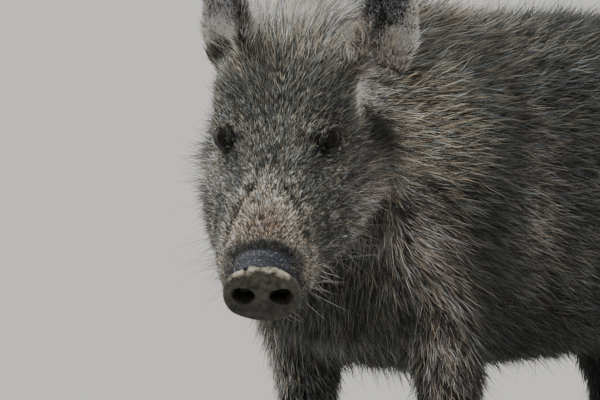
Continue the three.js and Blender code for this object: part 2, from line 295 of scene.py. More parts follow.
def remeshed(obj, pitch):
    modifier = obj.modifiers.new("remesh", "REMESH")
    modifier.mode = "VOXEL"
    modifier.voxel_size = pitch
    mesh = evaluated_mesh(obj)
    bpy.data.objects.remove(obj)
    return mesh


def thinned_body(mesh, share):
    """Leaves the head and ears fine, and the body with only this share of its faces."""
    body = to_head(places_of(mesh))[:, 1] > BEHIND_HEAD
    obj = placed("thinned", mesh)
    group = obj.vertex_groups.new(name="body")
    group.add([int(i) for i in np.nonzero(body)[0]], 1.0, "REPLACE")
    modifier = obj.modifiers.new("thinned", "DECIMATE")
    modifier.vertex_group = group.name
    modifier.ratio = 1 - body.mean() * (1 - share)
    result = evaluated_mesh(obj)
    bpy.data.objects.remove(obj)
    return result


def keep_largest_shell(work):
    seen, largest = set(), []
    for start in work.verts:
        if start in seen:
            continue
        shell, waiting = [], [start]
        seen.add(start)
        while waiting:
            v = waiting.pop()
            shell.append(v)
            for e in v.link_edges:
                other = e.other_vert(v)
                if other not in seen:
                    seen.add(other)
                    waiting.append(other)
        if len(shell) > len(largest):
            largest = shell
    kept = set(largest)
    loose = [v for v in work.verts if v not in kept]
    bmesh.ops.delete(work, geom=loose, context="VERTS")


def coat_depth(points, weights, head):
    """How far the skin lies below the tips of the coat, in millimetres."""
    y, z = head[:, 1] / MM, head[:, 2] / MM
    face = along_table(y, (0, 0.6), (24, 1.0), (45, 3), (90, 4.5), (170, 5.5), (230, 8), (290, 14))
    crown = ease(y, 225, 290) * ease(z, 60, 110) * 8
    near_eye = sum(blob(head, EYE_AT * (side, 1, 1), (0.02,) * 3) for side in SIDES)
    face = (face + crown) * (1 - 0.75 * np.clip(near_eye, 0, 1))
    height = points[:, 2] / MM
    crest = ease(height, 560, 640)
    belly = ease(height, 360, 300)
    body = 17 + 8 * crest - 4 * belly
    leg = along_table(height, (40, 2.0), (90, 3), (180, 5), (300, 9), (400, 14))
    tail = along_table(height, (320, 3), (400, 4), (460, 3), (540, 6))
    ear = 2.2
    by_part = (face, body, body, tail, ear, ear, leg, leg, leg, leg)
    return sum(weights[:, i] * depth for i, depth in enumerate(by_part)) * MM


def finer(mesh, wanted):
    """Cuts every face whose middle is in the wanted region into four."""
    with editing(mesh) as work:
        chosen = [f for f in work.faces if wanted(f.calc_center_median())]
        edges = list({e for f in chosen for e in f.edges})
        bmesh.ops.subdivide_edges(work, edges=edges, cuts=1, use_grid_fill=True)


def largest_closed_skin():
    vertices, faces, owners = skin_source()
    tree = BVHTree.FromPolygons(vertices, faces)
    mesh = remeshed(mesh_object("flesh", vertices, faces), SKIN_PITCH)
    with editing(mesh) as work:
        keep_largest_shell(work)
    put_places(mesh, relaxed(places_of(mesh), edges_of(mesh), 5))
    return thinned_body(mesh, BODY_SHARE), tree, owners


def part_weights(mesh, tree, owners):
    """How much each vertex belongs to each part of the body, evened out where parts meet."""
    found = [owners[tree.find_nearest(v.co)[2]] for v in mesh.vertices]
    return relaxed(np.eye(len(PARTS))[np.array(found)], edges_of(mesh), 20)


def draw_in(mesh, weights):
    """Moves the skin below the coat, in small steps so that it doesn't fold."""
    edges = edges_of(mesh)
    co = relaxed(places_of(mesh), edges, 3)
    depth = coat_depth(co, weights, to_head(co))
    for _ in range(4):
        put_places(mesh, co)
        co = relaxed(co - normals_of(mesh) * depth[:, None] / 4, edges, 1)
    torso = sum(weights[:, PARTS.index(part)] for part in ("neck", "trunk"))
    joined = [PARTS.index(part) for part in ("head", *LEGS)]
    joins = np.maximum.reduce([4 * torso * weights[:, i] for i in joined])
    joins = ease(relaxed(joins, edges, 8), 0.02, 0.35)[:, None]
    for _ in range(6):
        co += joins * (relaxed(co, edges, 4) - co)
    put_places(mesh, co)


LID_OPENING = (0.98, 0.62, 0.46)  # half its length, and its height above and below, as angles
LID_POWER = 1.55  # how far its outline is from a lozenge (1) towards an oval (2)


def eye_directions(side):
    """In the head's frame: the eye's middle, out of the head, along the lids and over them."""
    gaze = unit(np.array((side * 0.66, -0.70, 0.26)))
    upward = unit(np.array((0, 0, 1.0)) - gaze * gaze[2])
    forward = -side * unit(np.cross(upward, gaze))
    tilt = math.radians(24)
    along_lids = forward * math.cos(tilt) - upward * math.sin(tilt)
    over_lids = upward * math.cos(tilt) + forward * math.sin(tilt)
    return EYE_AT * (side, 1, 1), gaze, along_lids, over_lids


def lid_push(head, side):
    """Moves skin near one eye into lids: a rim round the opening, and folds above and below."""
    middle, gaze, along_lids, over_lids = eye_directions(side)
    away = head - middle
    far = np.linalg.norm(away, axis=1)
    out = away @ gaze
    near = (far < 0.034) & (out > -0.004)
    ray = away[near] / far[near, None]
    a = np.arctan2(ray @ along_lids, np.maximum(ray @ gaze, 0.05))
    b = np.arcsin(np.clip(ray @ over_lids, -1, 1))
    half_long, upper, lower = LID_OPENING
    tall = np.where(b > 0, upper, lower)
    ring = np.abs(a / half_long) ** LID_POWER + np.abs(b / tall) ** LID_POWER
    ring = ring ** (1 / LID_POWER)
    rim = (ring - 1) * np.hypot(a, b) / np.maximum(ring, 0.05) * EYE_RADIUS / MM
    profile = along_table(
        rim, (-3.0, -3.5), (-0.9, -2.4), (-0.1, 0.2), (0.5, 1.3), (1.6, 2.0), (3.2, 1.5), (6, 1.2)
    )
    above = ease(b, 0.0, 0.45)
    below = ease(-b, 0.0, 0.45)
    fold = above * (0.7 * hump(rim, 3.5, 2) - 1.8 * hump(rim, 8, 1.5))
    fold += above * 0.9 * hump(rim, 13, 3.5)
    fold += below * (-0.9 * hump(rim, 4.0, 1.0) + 0.8 * hump(rim, 6.5, 1.6))
    hold = 1 - ease(rim, 3.5, 12)
    wanted = EYE_RADIUS + profile * MM
    reach = far[near] * (1 - hold) + wanted * hold + fold * MM
    moved = head.copy()
    moved[near] = middle + ray * reach[:, None]
    rims, overs = np.full(len(head), 99.0), np.zeros(len(head))
    rims[near], overs[near] = rim, b
    return moved, rims, overs


MOUTH = ((0, -17), (40, -14), (80, -15), (128, -23), (140, -31))
MUZZLE_RIDGE = ((60, 40), (85, 36), (100, 27), (120, 15), (135, 10))


def sculpted_head(head, normals):
    """Folds, lips and wrinkles that the solids leave out, in the head's frame."""
    x, y, z = (head[:, k] / MM for k in range(3))
    push = np.zeros(len(head))
    over = ease(z, 12, 24)
    push -= 2.6 * over * hump(y, 27, 9)
    wrinkled = over * ease(y, 14, 18) * (1 - ease(y, 34, 42))
    for pitch, sway, height in ((0.62, 0.11, 0.16), (1.13, 0.21, 0.10), (1.9, 0.37, 0.06)):
        push += height * wrinkled * np.sin(y * pitch + 1.6 * np.sin(x * sway + 9 * pitch))
    ridge_x = along_table(y, *MUZZLE_RIDGE)
    reach = ease(y, 55, 75) * (1 - ease(y, 118, 140)) * ease(z, 8, 22)
    push += 2.4 * reach * hump(np.abs(x) - ridge_x, 4, 4.5)
    push -= 2.0 * reach * hump(np.abs(x) - ridge_x, -5, 4.0)
    mouth_z = along_table(y, *MOUTH)
    lips = ease(y, 16, 24) * (1 - ease(y, 132, 146)) * ease(np.abs(x), 12, 24)
    push -= 2.6 * lips * hump(z, mouth_z, 2.0)
    push += 1.0 * lips * hump(z - mouth_z, 5, 3.0)
    push += 1.1 * lips * hump(z - mouth_z, -5, 3.0)
    push += 1.2 * hump(y, 205, 14) * hump(np.abs(x), 24, 14) * ease(z, 60, 80)
    moved = head + normals * (push * MM)[:, None]
    behind_disc = 0.027 * ease(np.hypot(x / 33, z / 25), 0.95, 0.75)
    moved[:, 1] = np.where(y < 40, np.maximum(moved[:, 1], behind_disc), moved[:, 1])
    return moved


def make_skin():
    mesh, tree, owners = largest_closed_skin()
    weights = part_weights(mesh, tree, owners)
    draw_in(mesh, weights)
    for i, part in enumerate(PARTS):
        store(mesh, "part_" + part, weights[:, i])

    def fine_at(eye_reach, snout_reach):
        def wanted(place):
            head = to_head(np.array(place))
            eyes = min(np.linalg.norm(head - EYE_AT * (side, 1, 1)) for side in SIDES)
            return eyes < eye_reach or head[1] < snout_reach
        return wanted

    finer(mesh, fine_at(NEAR_EYE, AT_SNOUT))
    finer(mesh, fine_at(AT_LIDS, -1))
    co = places_of(mesh)
    head = to_head(co)
    turned = normals_of(mesh) @ HEAD_TURN
    on = (head[:, 1] < BEHIND_HEAD + 0.005)[:, None]
    head = np.where(on, sculpted_head(head, turned), head)
    rims, overs = [], []
    for side in SIDES:
        head, rim, over = lid_push(head, side)
        rims.append(rim)
        overs.append(over)
    co = np.where(on, from_head(head), co)
    put_places(mesh, co)
    store(mesh, "lid_rim", np.minimum(*rims))
    store(mesh, "over_eye", sum(overs))
    with editing(mesh) as work:
        bmesh.ops.triangulate(work, faces=work.faces)
    shade_smooth(mesh)
    return placed("skin", mesh)


skin = make_skin()

# Markings and lie of the coat ---------------------------------------------------------------------
# Colours are those of the hair's outer half, with painted light and shade among the markings. Skin
# and coat read the same ones.


def shade(code):
    """A colour written as #rrggbb, as light."""
    values = np.array([int(code[i : i + 2], 16) for i in (1, 3, 5)]) / 255
    return np.where(values <= 0.04045, values / 12.92, ((values + 0.055) / 1.055) ** 2.4)


GRIZZLE, OLIVE, BLACKISH = shade("#5b5c58"), shade("#70706a"), shade("#272825")
PALE_BUFF, CREAM, ROSY = shade("#bbb1a2"), shade("#e6dfd7"), shade("#8b8380")
SLATE, BARE_SKIN, RUST = shade("#7b7b82"), shade("#1d1f25"), shade("#8f7258")
PALE_ROSY, SILVER = shade("#a99f97"), shade("#96928c")

BASE_COLOURS = {
    "head": OLIVE,
    "neck": GRIZZLE,
    "trunk": GRIZZLE * 0.75,
    "tail": BLACKISH,
    "ear_left": SLATE,
    "ear_right": SLATE,
    **dict.fromkeys(LEGS, GRIZZLE),
}

# On the head, both sides alike: what, colour, middle and size in millimetres, and how strongly.
# Some rows are painted light and shade.
HEAD_MARKINGS_AND_PAINTED_LIGHT = (
    ("cheek", ROSY, (66, 225, -18), (36, 46, 42), 0.55),
    ("forehead", OLIVE * 0.65, (0, 222, 98), (60, 34, 30), 0.7),
    # crown: pale hair, partly painted sunlight
    ("crown", CREAM * 1.25, (0, 308, 130), (72, 28, 34), 1.0),
    ("poll", PALE_BUFF, (22, 262, 120), (40, 22, 30), 0.3),
    ("throat", BLACKISH, (0, 150, -72), (60, 130, 34), 0.9),
    ("side of the muzzle", OLIVE * 0.5, (52, 105, 2), (20, 42, 28), 0.7),
    # ear base and behind the ear base: painted pools of sunlight on the coat
    ("ear base", CREAM * 3.0, (76, 316, 53), (28, 34, 18), 1.0),
    ("behind the ear base", CREAM * 2.8, (80, 362, 33), (27, 30, 18), 1.0),
    # painted shade in the hollow behind the eye
    ("painted shade in the hollow behind the eye", BLACKISH * 0.3, (75, 298, 4), (34, 38, 24), 1.0),
    ("dark centre of the muzzle", RUST * 0.35, (0, 66, 40), (15, 20, 20), 0.6),
    ("between the brows", BLACKISH, (0, 141, 61), (8, 14, 16), 0.6),
    ("beside the snout", BLACKISH * 1.2, (34, 34, 6), (14, 15, 22), 0.75),
    ("round the eye", BLACKISH, (45, 191, 56), (14, 16, 14), 0.4),
    ("cup of the ear", PALE_BUFF * 0.9, (92, 264, 98), (20, 16, 22), 0.75),
    ("upper lip", PALE_BUFF, (42, 52, 2), (14, 24, 14), 0.45),
    ("tear line", BLACKISH, (33, 163, 45), (9, 20, 10), 0.7),
    ("behind the lids", PALE_BUFF * 0.8, (62, 206, 46), (9, 14, 13), 0.5),
    ("fringe behind the snout", BLACKISH * 0.6, (0, 36, 30), (48, 8, 14), 0.9),
)

# On the body: what, colour, middle (out from the midline, behind the chest, above the ground),
# size and how strongly. Some rows are painted light and shade.
BODY_MARKINGS_AND_PAINTED_LIGHT = (
    # side of the neck: pale-tipped hair, partly painted sunlight
    ("side of the neck", PALE_BUFF * 1.2, (95, 2, 548), (50, 56, 52), 0.85),
    ("below the cheek", SILVER, (88, -45, 432), (52, 36, 54), 0.9),
    # painted shade behind the elbow
    ("painted shade behind the elbow", BLACKISH * 0.8, (120, 88, 395), (80, 42, 85), 0.85),
    # painted light falling over the ribs
    ("painted light over the ribs", PALE_ROSY * 0.6, (120, 178, 480), (60, 36, 85), 0.6),
    ("withers", PALE_BUFF * 0.5, (60, 190, 620), (60, 120, 40), 0.5),
)


FAINT_ON_THE_RIGHT = 0.2  # how faint the painted sunlit patch below the ear is on the right


def over_markings_and_painted_light(points, colours, head):
    """Paints every marking of the body and the head, with the painted light and shade among them,
    over the base colours.
    """
    height = points[:, 2] / MM
    body_y = (points[:, 1] - chest) / MM
    outward = np.abs(points[:, 0] - midline) / MM
    stocking = np.where(body_y < 330, ease(height, 300, 190), ease(height, 400, 250))
    belly = ease(height, 400, 300) * ease(body_y, 90, 160) * 0.75
    front = ease(height, 480, 400) * ease(body_y, 30, -10) * 0.7
    # painted light: the lit front of the upper arm, as a pale strip
    lit_arm_strip_y = along_table(height, (230, 55), (350, 42), (395, 22), (445, 0), (490, -15))
    lit_arm_strip = hump(body_y, lit_arm_strip_y, 27) * ease(height, 485, 445) * ease(height, 240, 310)
    lit_arm_strip = lit_arm_strip * ease(outward, 75, 100) * (0.5 + 0.4 * ease(height, 330, 410))
    crest = ease(height, 600, 650) * ease(outward, 60, 20)
    crest = crest * ease(body_y, -160, -40)
    on_body = np.stack((outward, body_y, height), 1)
    mirrored = mirrored_left(head / MM)
    on_head = 1 - ease(mirrored[:, 1], 395, 430)
    x, y, z = mirrored.T
    # pale saddle on top of the muzzle: pale hair, partly painted sunlight
    half = along_table(y, (36, 44), (70, 40), (98, 24), (124, 9), (136, 3))
    saddle = (1 - ease(x, half * 0.7, half * 1.1 + 6)) * ease(z, 2, 26)
    saddle *= ease(y, 32, 56) * (1 - ease(y, 105, 142))
    # beside the muzzle ridges: painted shade in the groove and painted light on the ridge
    reach = ease(y, 50, 70) * (1 - ease(y, 116, 136)) * ease(z, 4, 16)
    beside = x - along_table(y, *MUZZLE_RIDGE)
    layers = [
        (BLACKISH * 0.7, np.maximum(belly, stocking)),
        (BLACKISH, front),
        (PALE_ROSY * 1.8, lit_arm_strip),
        (PALE_BUFF, crest * 0.35),
        *(
            (colour, share * blob(on_body, middle, size))
            for _, colour, middle, size, share in BODY_MARKINGS_AND_PAINTED_LIGHT
        ),
        (PALE_BUFF, saddle * 0.9),
        (RUST, saddle * hump(y, 60, 20) * hump(x, 0, 24) * 0.45),
        (BLACKISH * 1.5, 0.9 * reach * hump(beside, -5, 4.0)),
        (PALE_BUFF, 0.6 * reach * hump(beside, 3, 3.5)),
    ]
    for name, colour, middle, size, share in HEAD_MARKINGS_AND_PAINTED_LIGHT:
        amount = share * np.clip(1.6 * blob(mirrored, middle, size), 0, 1)
        if "ear base" in name:
            amount = amount * np.where(head[:, 0] > 0, 1.0, FAINT_ON_THE_RIGHT)
        layers.append((colour, amount * on_head))
    return painted(colours, layers)


def mixed(colours, other, amount):
    amount = np.clip(amount, 0, 1)[:, None]
    return colours * (1 - amount) + other * amount


def painted(colours, layers):
    """Lays each (colour, amount) over the ones before it."""
    for colour, amount in layers:
        colours = mixed(colours, colour, amount)
    return colours


def round_angle(x, z):
    """Degrees round a lengthwise axis: 0 on top, 90 at the side, 180 underneath."""
    return np.degrees(np.arctan2(np.abs(x), z))


# In the head's frame, each ear's base and tip, and which way it opens.
EARS = {
    "ear_left": [np.array(row) for row in (
        (0.081, 0.272, 0.084), (0.104, 0.258, 0.206), (0.4, -0.92, 0.0)
    )],
    "ear_right": [np.array(row) for row in (
        (-0.050, 0.268, 0.088), (-0.052, 0.265, 0.218), (-0.62, -0.78, 0.0)
    )],
}
EAR_HALF_WIDTH = ((0, 26), (0.15, 28.5), (0.4, 29.5), (0.65, 25), (0.85, 16), (0.96, 8), (1, 5))


def on_ear(part, head, turned):
    """Along the ear (0 to 1), across it (-1 to 1, the inner edge first), how far inside its cup
    and on its rim, and the directions along and across it."""
    base, tip, opening = EARS[part]
    line, opening = unit(tip - base), unit(opening)
    across = unit(np.cross(opening, line))
    across *= np.sign(across[0]) * np.sign(base[0])
    away = head - base
    along = away @ line / np.linalg.norm(tip - base)
    side = away @ across / MM / along_table(along, *EAR_HALF_WIDTH)
    facing = turned @ unit(opening - line * (opening @ line))
    rim = ease(np.abs(side), 0.62, 0.95)
    return along, side, ease(facing, 0.0, 0.5) * (1 - rim), rim, line, across


def head_lie(head):
    """Which way the hair lies on the head: back, fanning out, and down under the cheeks."""
    x, y, z = (head[:, k] / MM for k in range(3))
    side = np.clip(x / 7, -1, 1)
    angle = round_angle(x, z + 8)
    fan = along_table(angle, (0, 0.25), (35, 0.6), (70, 0.45), (110, 0.15), (180, 0.1))
    fan *= along_table(y, (20, 1.4), (90, 0.8), (150, 0.7), (215, 1.2), (300, 0.8))
    rise = along_table(
        angle, (0, 0.1), (45, 0.12), (70, -0.1), (100, -0.55), (140, -0.7), (180, -0.15)
    )
    mirrored = mirrored_left(head / MM)
    rise += 0.55 * blob(mirrored, (64, 235, 80), (26, 34, 26))
    lie = np.stack((side * fan, np.ones_like(x), rise), axis=1)
    corner = mirrored - np.array((35, 176, 51))
    spread = unit(corner) * hump(np.linalg.norm(corner, axis=1), 0, 22)[:, None]
    spread[:, 0] *= side
    lie += 1.1 * spread  # out from the inner corner of the eye
    return unit(lie) @ HEAD_TURN.T


def body_lie(points):
    """Which way the hair lies on neck and trunk: back, and down over the sides."""
    x, z = (points[:, 0] - midline) / MM, points[:, 2] / MM
    y = (points[:, 1] - chest) / MM
    angle = round_angle(x, z - 450)
    down = along_table(
        angle, (0, 0.02), (30, 0.16), (75, 0.42), (120, 0.45), (160, 0.1), (180, 0.0)
    )
    down += 0.5 * ease(y, 120, 0) * ease(z, 520, 400)
    down += 0.5 * ease(y, 560, 700)
    side = np.clip(x / 20, -1, 1)
    out = along_table(angle, (0, 0.12), (40, 0.2), (80, 0.0), (180, 0.0))
    return unit(np.stack((side * out, np.ones_like(x), -down), axis=1))


FLECK_SEED = 23
UNDER_COAT = 0.10  # the skin's tone below hair, as a share of the hair's


def ear_colours(part, along, side, rim):
    """The colours of one ear, at every vertex of the skin, with painted shade in the left one's cup
    and at the right one's base.
    """
    left = part == "ear_left"
    colours = np.tile(SLATE * (1.4 if left else 2.3), (len(along), 1))
    front_edge = ease(side, -0.1, -0.5)
    pale_rim = (CREAM * 1.5, rim * ease(along, 1.0, 0.5) * ease(side, -0.2, 0.2))
    if left:
        lower_back = ease(side, -0.1, 0.3) * ease(along, 0.42, 0.3)
        # painted shade in the cup of the left ear: in its hollow and its upper part
        hollow = hump(along, 0.4, 0.15) * hump(side, 0.05, 0.35)
        layers = (
            (PALE_ROSY * 3.2, lower_back * 0.9),
            (PALE_ROSY * 2.6, front_edge * ease(along, 0.55, 0.4) * 0.9),
            (BLACKISH * 0.4, np.maximum(hollow, ease(along, 0.5, 0.65) * 0.75)),
            pale_rim,
        )
    else:
        layers = (
            (PALE_BUFF, front_edge * ease(along, 0.7, 0.4) * 0.5),
            pale_rim,
            (CREAM * 1.6, hump(along, 0.24, 0.09)),
            # painted shadow at the base of the right ear
            (BLACKISH * 0.5, ease(along, 0.14, 0.06)),
        )
    return painted(colours, layers)


def coat_fields(mesh):
    """Direction, length, lift and width of the hair, and its colour, at every vertex."""
    points, edges = places_of(mesh), edges_of(mesh)
    head = to_head(points)
    weights = {part: stored(mesh, "part_" + part).astype(float)[:, None] for part in PARTS}
    on_face = weights["head"][:, 0]
    height = points[:, 2] / MM
    lie = weights["head"] * head_lie(head)
    lie += (weights["neck"] + weights["trunk"]) * body_lie(points)
    lie += weights["tail"] * np.array((0, 0.2, -1))
    for part in LEGS:
        lie += weights[part] * np.array((0, 0.3, -1))
    normals = normals_of(mesh)
    ears = {part: on_ear(part, head, normals @ HEAD_TURN) for part in EARS}
    for part, (_, side, inside, rim, line, across) in ears.items():
        outward = side * (0.35 + 0.5 * rim) * np.where(side > 0, 0.35, 1.0)
        outward = (outward - 0.7 * inside * (side < 0))[:, None]
        lie += weights[part] * (unit(line + outward * across) @ HEAD_TURN.T)
    lie -= normals * (lie * normals).sum(1)[:, None]
    lie = unit(relaxed(lie, edges, 6))

    x, y, z = (head[:, k] / MM for k in range(3))
    mirrored = mirrored_left(head / MM)
    angle = round_angle(x, z + 8)
    crown = ease(y, 225, 285) * ease(z, 60, 105)
    ruff = ease(y, 120, 230) * ease(angle, 62, 100)
    lids = np.exp(-((np.linalg.norm(mirrored - EYE_AT / MM, axis=1) / 21) ** 4))
    crest = ease(height, 585, 645)
    rump = ease((points[:, 1] - chest) / MM, 250, 700)
    body = {
        "length": 34 + (28 - 14 * rump) * crest - 4 * ease(height, 360, 300),
        "lift": 27 + (10 - 8 * rump) * crest,
        "width": 0.95 + 0.1 * crest,
    }
    leg = {
        "length": along_table(height, (40, 7), (90, 10), (180, 14), (300, 22), (400, 32)),
        "lift": along_table(height, (40, 15), (200, 18), (400, 26)),
        "width": along_table(height, (40, 0.7), (400, 0.95)),
    }
    face_length = along_table(
        y,
        (14, 3), (30, 4), (50, 6), (90, 7.5), (150, 8.5),
        (190, 10), (230, 14.5), (270, 22), (305, 28),
    )
    face_width = along_table(y, (20, 0.5), (100, 0.6), (200, 0.7), (300, 0.85))
    tail_length = along_table(height, (300, 60), (350, 52), (400, 24), (460, 12), (560, 16))
    hair = {
        "head": {
            "length": face_length
            * (1 + 0.9 * ruff + 0.35 * crown)
            * (1 - 0.68 * lids)
            * (1 - 0.3 * blob(mirrored, (70, 275, 58), (24, 24, 20))),
            "lift": 20 + 16 * crown + 8 * ease(y, 180, 240) + 12 * ruff - 6 * lids,
            "width": face_width * (1 - 0.3 * lids),
        },
        "neck": body,
        "trunk": body,
        "tail": {"length": tail_length, "lift": 13, "width": 1.0},
        **{
            part: {
                "length": 8
                + 6 * rim * (side < 0)
                + 14 * ease(side, -0.2, -0.7)
                + 5 * (along < 0.3),
                "lift": 18 + 12 * rim,
                "width": 0.6 + 0.1 * rim,
            }
            for part, (along, side, _, rim, _, _) in ears.items()
        },
        **dict.fromkeys(LEGS, leg),
    }
    size = {
        key: sum(weights[part][:, 0] * hair[part][key] for part in PARTS)
        for key in ("length", "lift", "width")
    }
    below_ear = blob(mirrored, (77, 316, 52), (34, 54, 28))
    behind_ear = blob(mirrored, (80, 360, 30), (28, 40, 24))
    size["length"] *= 1 - 0.8 * np.clip(2.2 * (below_ear + behind_ear), 0, 1)
    bare_band = ease(z, 12, 23) * ease(y, 38, 33) * ease(np.abs(x), 31, 22)
    lips = ease(y, 24, 17)
    rim, over = stored(mesh, "lid_rim"), stored(mesh, "over_eye")
    bare = np.maximum.reduce((bare_band, lips, ease(rim, 1.1, 0.6))) * on_face
    colours = sum(weights[part] * BASE_COLOURS[part] for part in PARTS)
    for part, ear in ears.items():
        paint = ear_colours(part, *ear[:2], ear[3])
        colours = colours + weights[part] * (paint - BASE_COLOURS[part])
    colours = over_markings_and_painted_light(points, colours, head)
    brow = on_face * ease(over, 0.1, 0.5)
    fleck = np.random.default_rng(FLECK_SEED).random(len(points))
    freckled = on_face * ease(y, 36, 60) * (1 - ease(y, 235, 290))
    freckled *= 1 - 0.7 * ease(z, 40, 60) * ease(y, 125, 160)
    colours = painted(colours, (
        # above the eye: painted shade in the crease over the upper lid and painted light on the lid
        # fold and brow ridge, partly the pale hair there
        (OLIVE * 1.15, 0.7 * brow * hump(rim, 3.6, 2.2)),
        (BLACKISH * 0.6, 0.65 * brow * hump(rim, 8.0, 1.8)),
        (PALE_BUFF, 0.16 * brow * hump(rim, 13.0, 3.0)),
        (BLACKISH * 0.7, 0.62 * freckled * (fleck < 0.24)),
        (CREAM * 1.1, 0.3 * freckled * (fleck > 0.86)),
    ))
    near_lids = (rim < 20).astype(float)
    bare_colour = mixed(np.tile(BARE_SKIN, (len(points), 1)), BLACKISH * 0.2, near_lids)
    growth = (1 - bare) * (1 + 0.6 * ease(y, 120, 60) * on_face)
    hair = np.stack((size["length"] * MM, np.radians(size["lift"]), size["width"] * MM), 1)
    store(mesh, "lie", lie)
    store(mesh, "hair", hair)
    store(mesh, "coat_colour", colours)
    store(mesh, "skin_colour", mixed(colours * UNDER_COAT, bare_colour, bare))
    store(mesh, "bare", bare)
    return weights, growth, head, points


HEAD_AXIS, BODY_AXIS = -0.008, 0.46  # heights of the axes that head and body are unrolled round


def coat_regions(weights, head, points):
    """Each piece of the coat as (name, tufts, slot, areas). An area has its share of the vertices,
    the directions across and up that it is unrolled round, and the one along it."""
    y_head, y = head[:, 1] / MM, points[:, 1]
    y_body = (y - chest) / MM
    owner = np.array(PARTS)[np.argmax(np.concatenate([weights[p] for p in PARTS], axis=1), axis=1)]
    head_turn = (head[:, 0], head[:, 2] - HEAD_AXIS)
    body_turn = (points[:, 0] - midline, points[:, 2] - BODY_AXIS)

    def between(part, places, start, end):
        return (owner == part) & (places >= start) & (places < end)

    def upright(part):
        middle = centre_of(part)
        return owner == part, points[:, 0] - middle.x, y - middle.y, points[:, 2]

    found = [
        (name, tufts, "coat", [(between("head", y_head, start, end), *head_turn, y_head)])
        for name, tufts, start, end in (
            ("coat_muzzle", 15600, -900, 132),
            ("coat_face", 15600, 132, 232),
            ("coat_nape", 15600, 232, 9000),
        )
    ]
    ears = []
    for part, (base, tip, _) in EARS.items():
        away = head - base
        ears.append((owner == part, away[:, 0], away[:, 1], away @ unit(tip - base)))
    found.append(("coat_ears", 9000, "dark_coat", ears))
    found += [
        (name, tufts, "coat", [(between(part, y_body, start, end), *body_turn, y)])
        for name, tufts, part, start, end in (
            ("coat_neck", 15800, "neck", -9000, 9000),
            ("coat_shoulders", 15600, "trunk", -900, 220),
            ("coat_flanks", 12200, "trunk", 220, 460),
            ("coat_rump", 9900, "trunk", 460, 9000),
        )
    ]
    found += [
        (name, tufts, "dark_coat", [upright(part) for part in parts])
        for name, tufts, parts in (
            ("coat_forelegs", 7500, LEGS[:2]),
            ("coat_hindlegs", 7300, LEGS[2:]),
            ("coat_tail", 1200, ("tail",)),
        )
    ]
    return found


UV_MARGIN = 0.01


def unroll(mesh, areas):
    """Writes where each face corner lies on the unrolled skin, and returns the region's share."""
    triangles = corner_vertices(mesh).reshape(-1, 3)
    at = np.full((len(mesh.loops), 2), 0.5)
    share = np.zeros(len(mesh.vertices))
    for tile, (mask, across, upward, lengthwise) in enumerate(areas):
        share[mask] = 1
        turn = np.arctan2(across, upward) / (2 * math.pi) % 1.0
        low, high = lengthwise[mask].min(), lengthwise[mask].max()
        span = (lengthwise - low) / (high - low)
        u = turn[triangles]
        wraps = (np.ptp(u, axis=1) > 0.5)[:, None] & (u < 0.5)
        u = (u + wraps) / 1.04
        mine = mask[triangles].any(axis=1)
        corners = np.stack(((tile + 0.99 * u) / len(areas), span[triangles]), 2)
        at.reshape(-1, 3, 2)[mine] = (UV_MARGIN + (1 - 2 * UV_MARGIN) * corners)[mine]
    layer = mesh.uv_layers.get("unrolled") or mesh.uv_layers.new(name="unrolled")
    layer.data.foreach_set("uv", at.astype(np.float32).ravel())
    return share


# Coat ---------------------------------------------------------------------------------------------
# Every tuft is a few pointed blades with one root. A blade leaves the skin at its lift, bends
# down along the lie and tapers to its tip.


def blade(segments):
    """One flat pointed strip; "along" runs from root to tip, "across" from edge to edge."""
    levels = [i / segments for i in range(segments)]
    vertices = [(side, level, 0) for level in levels for side in (-0.5, 0.5)] + [(0, 1, 0)]
    faces = [(2 * i, 2 * i + 1, 2 * i + 3, 2 * i + 2) for i in range(segments - 1)]
    last = 2 * (segments - 1)
    faces.append((last, last + 1, last + 2))
    obj = mesh_object(f"blade_{segments}", vertices, faces)
    store(obj.data, "along", np.array([v[1] for v in vertices], float))
    store(obj.data, "across", np.array([v[0] for v in vertices], float))
    return obj


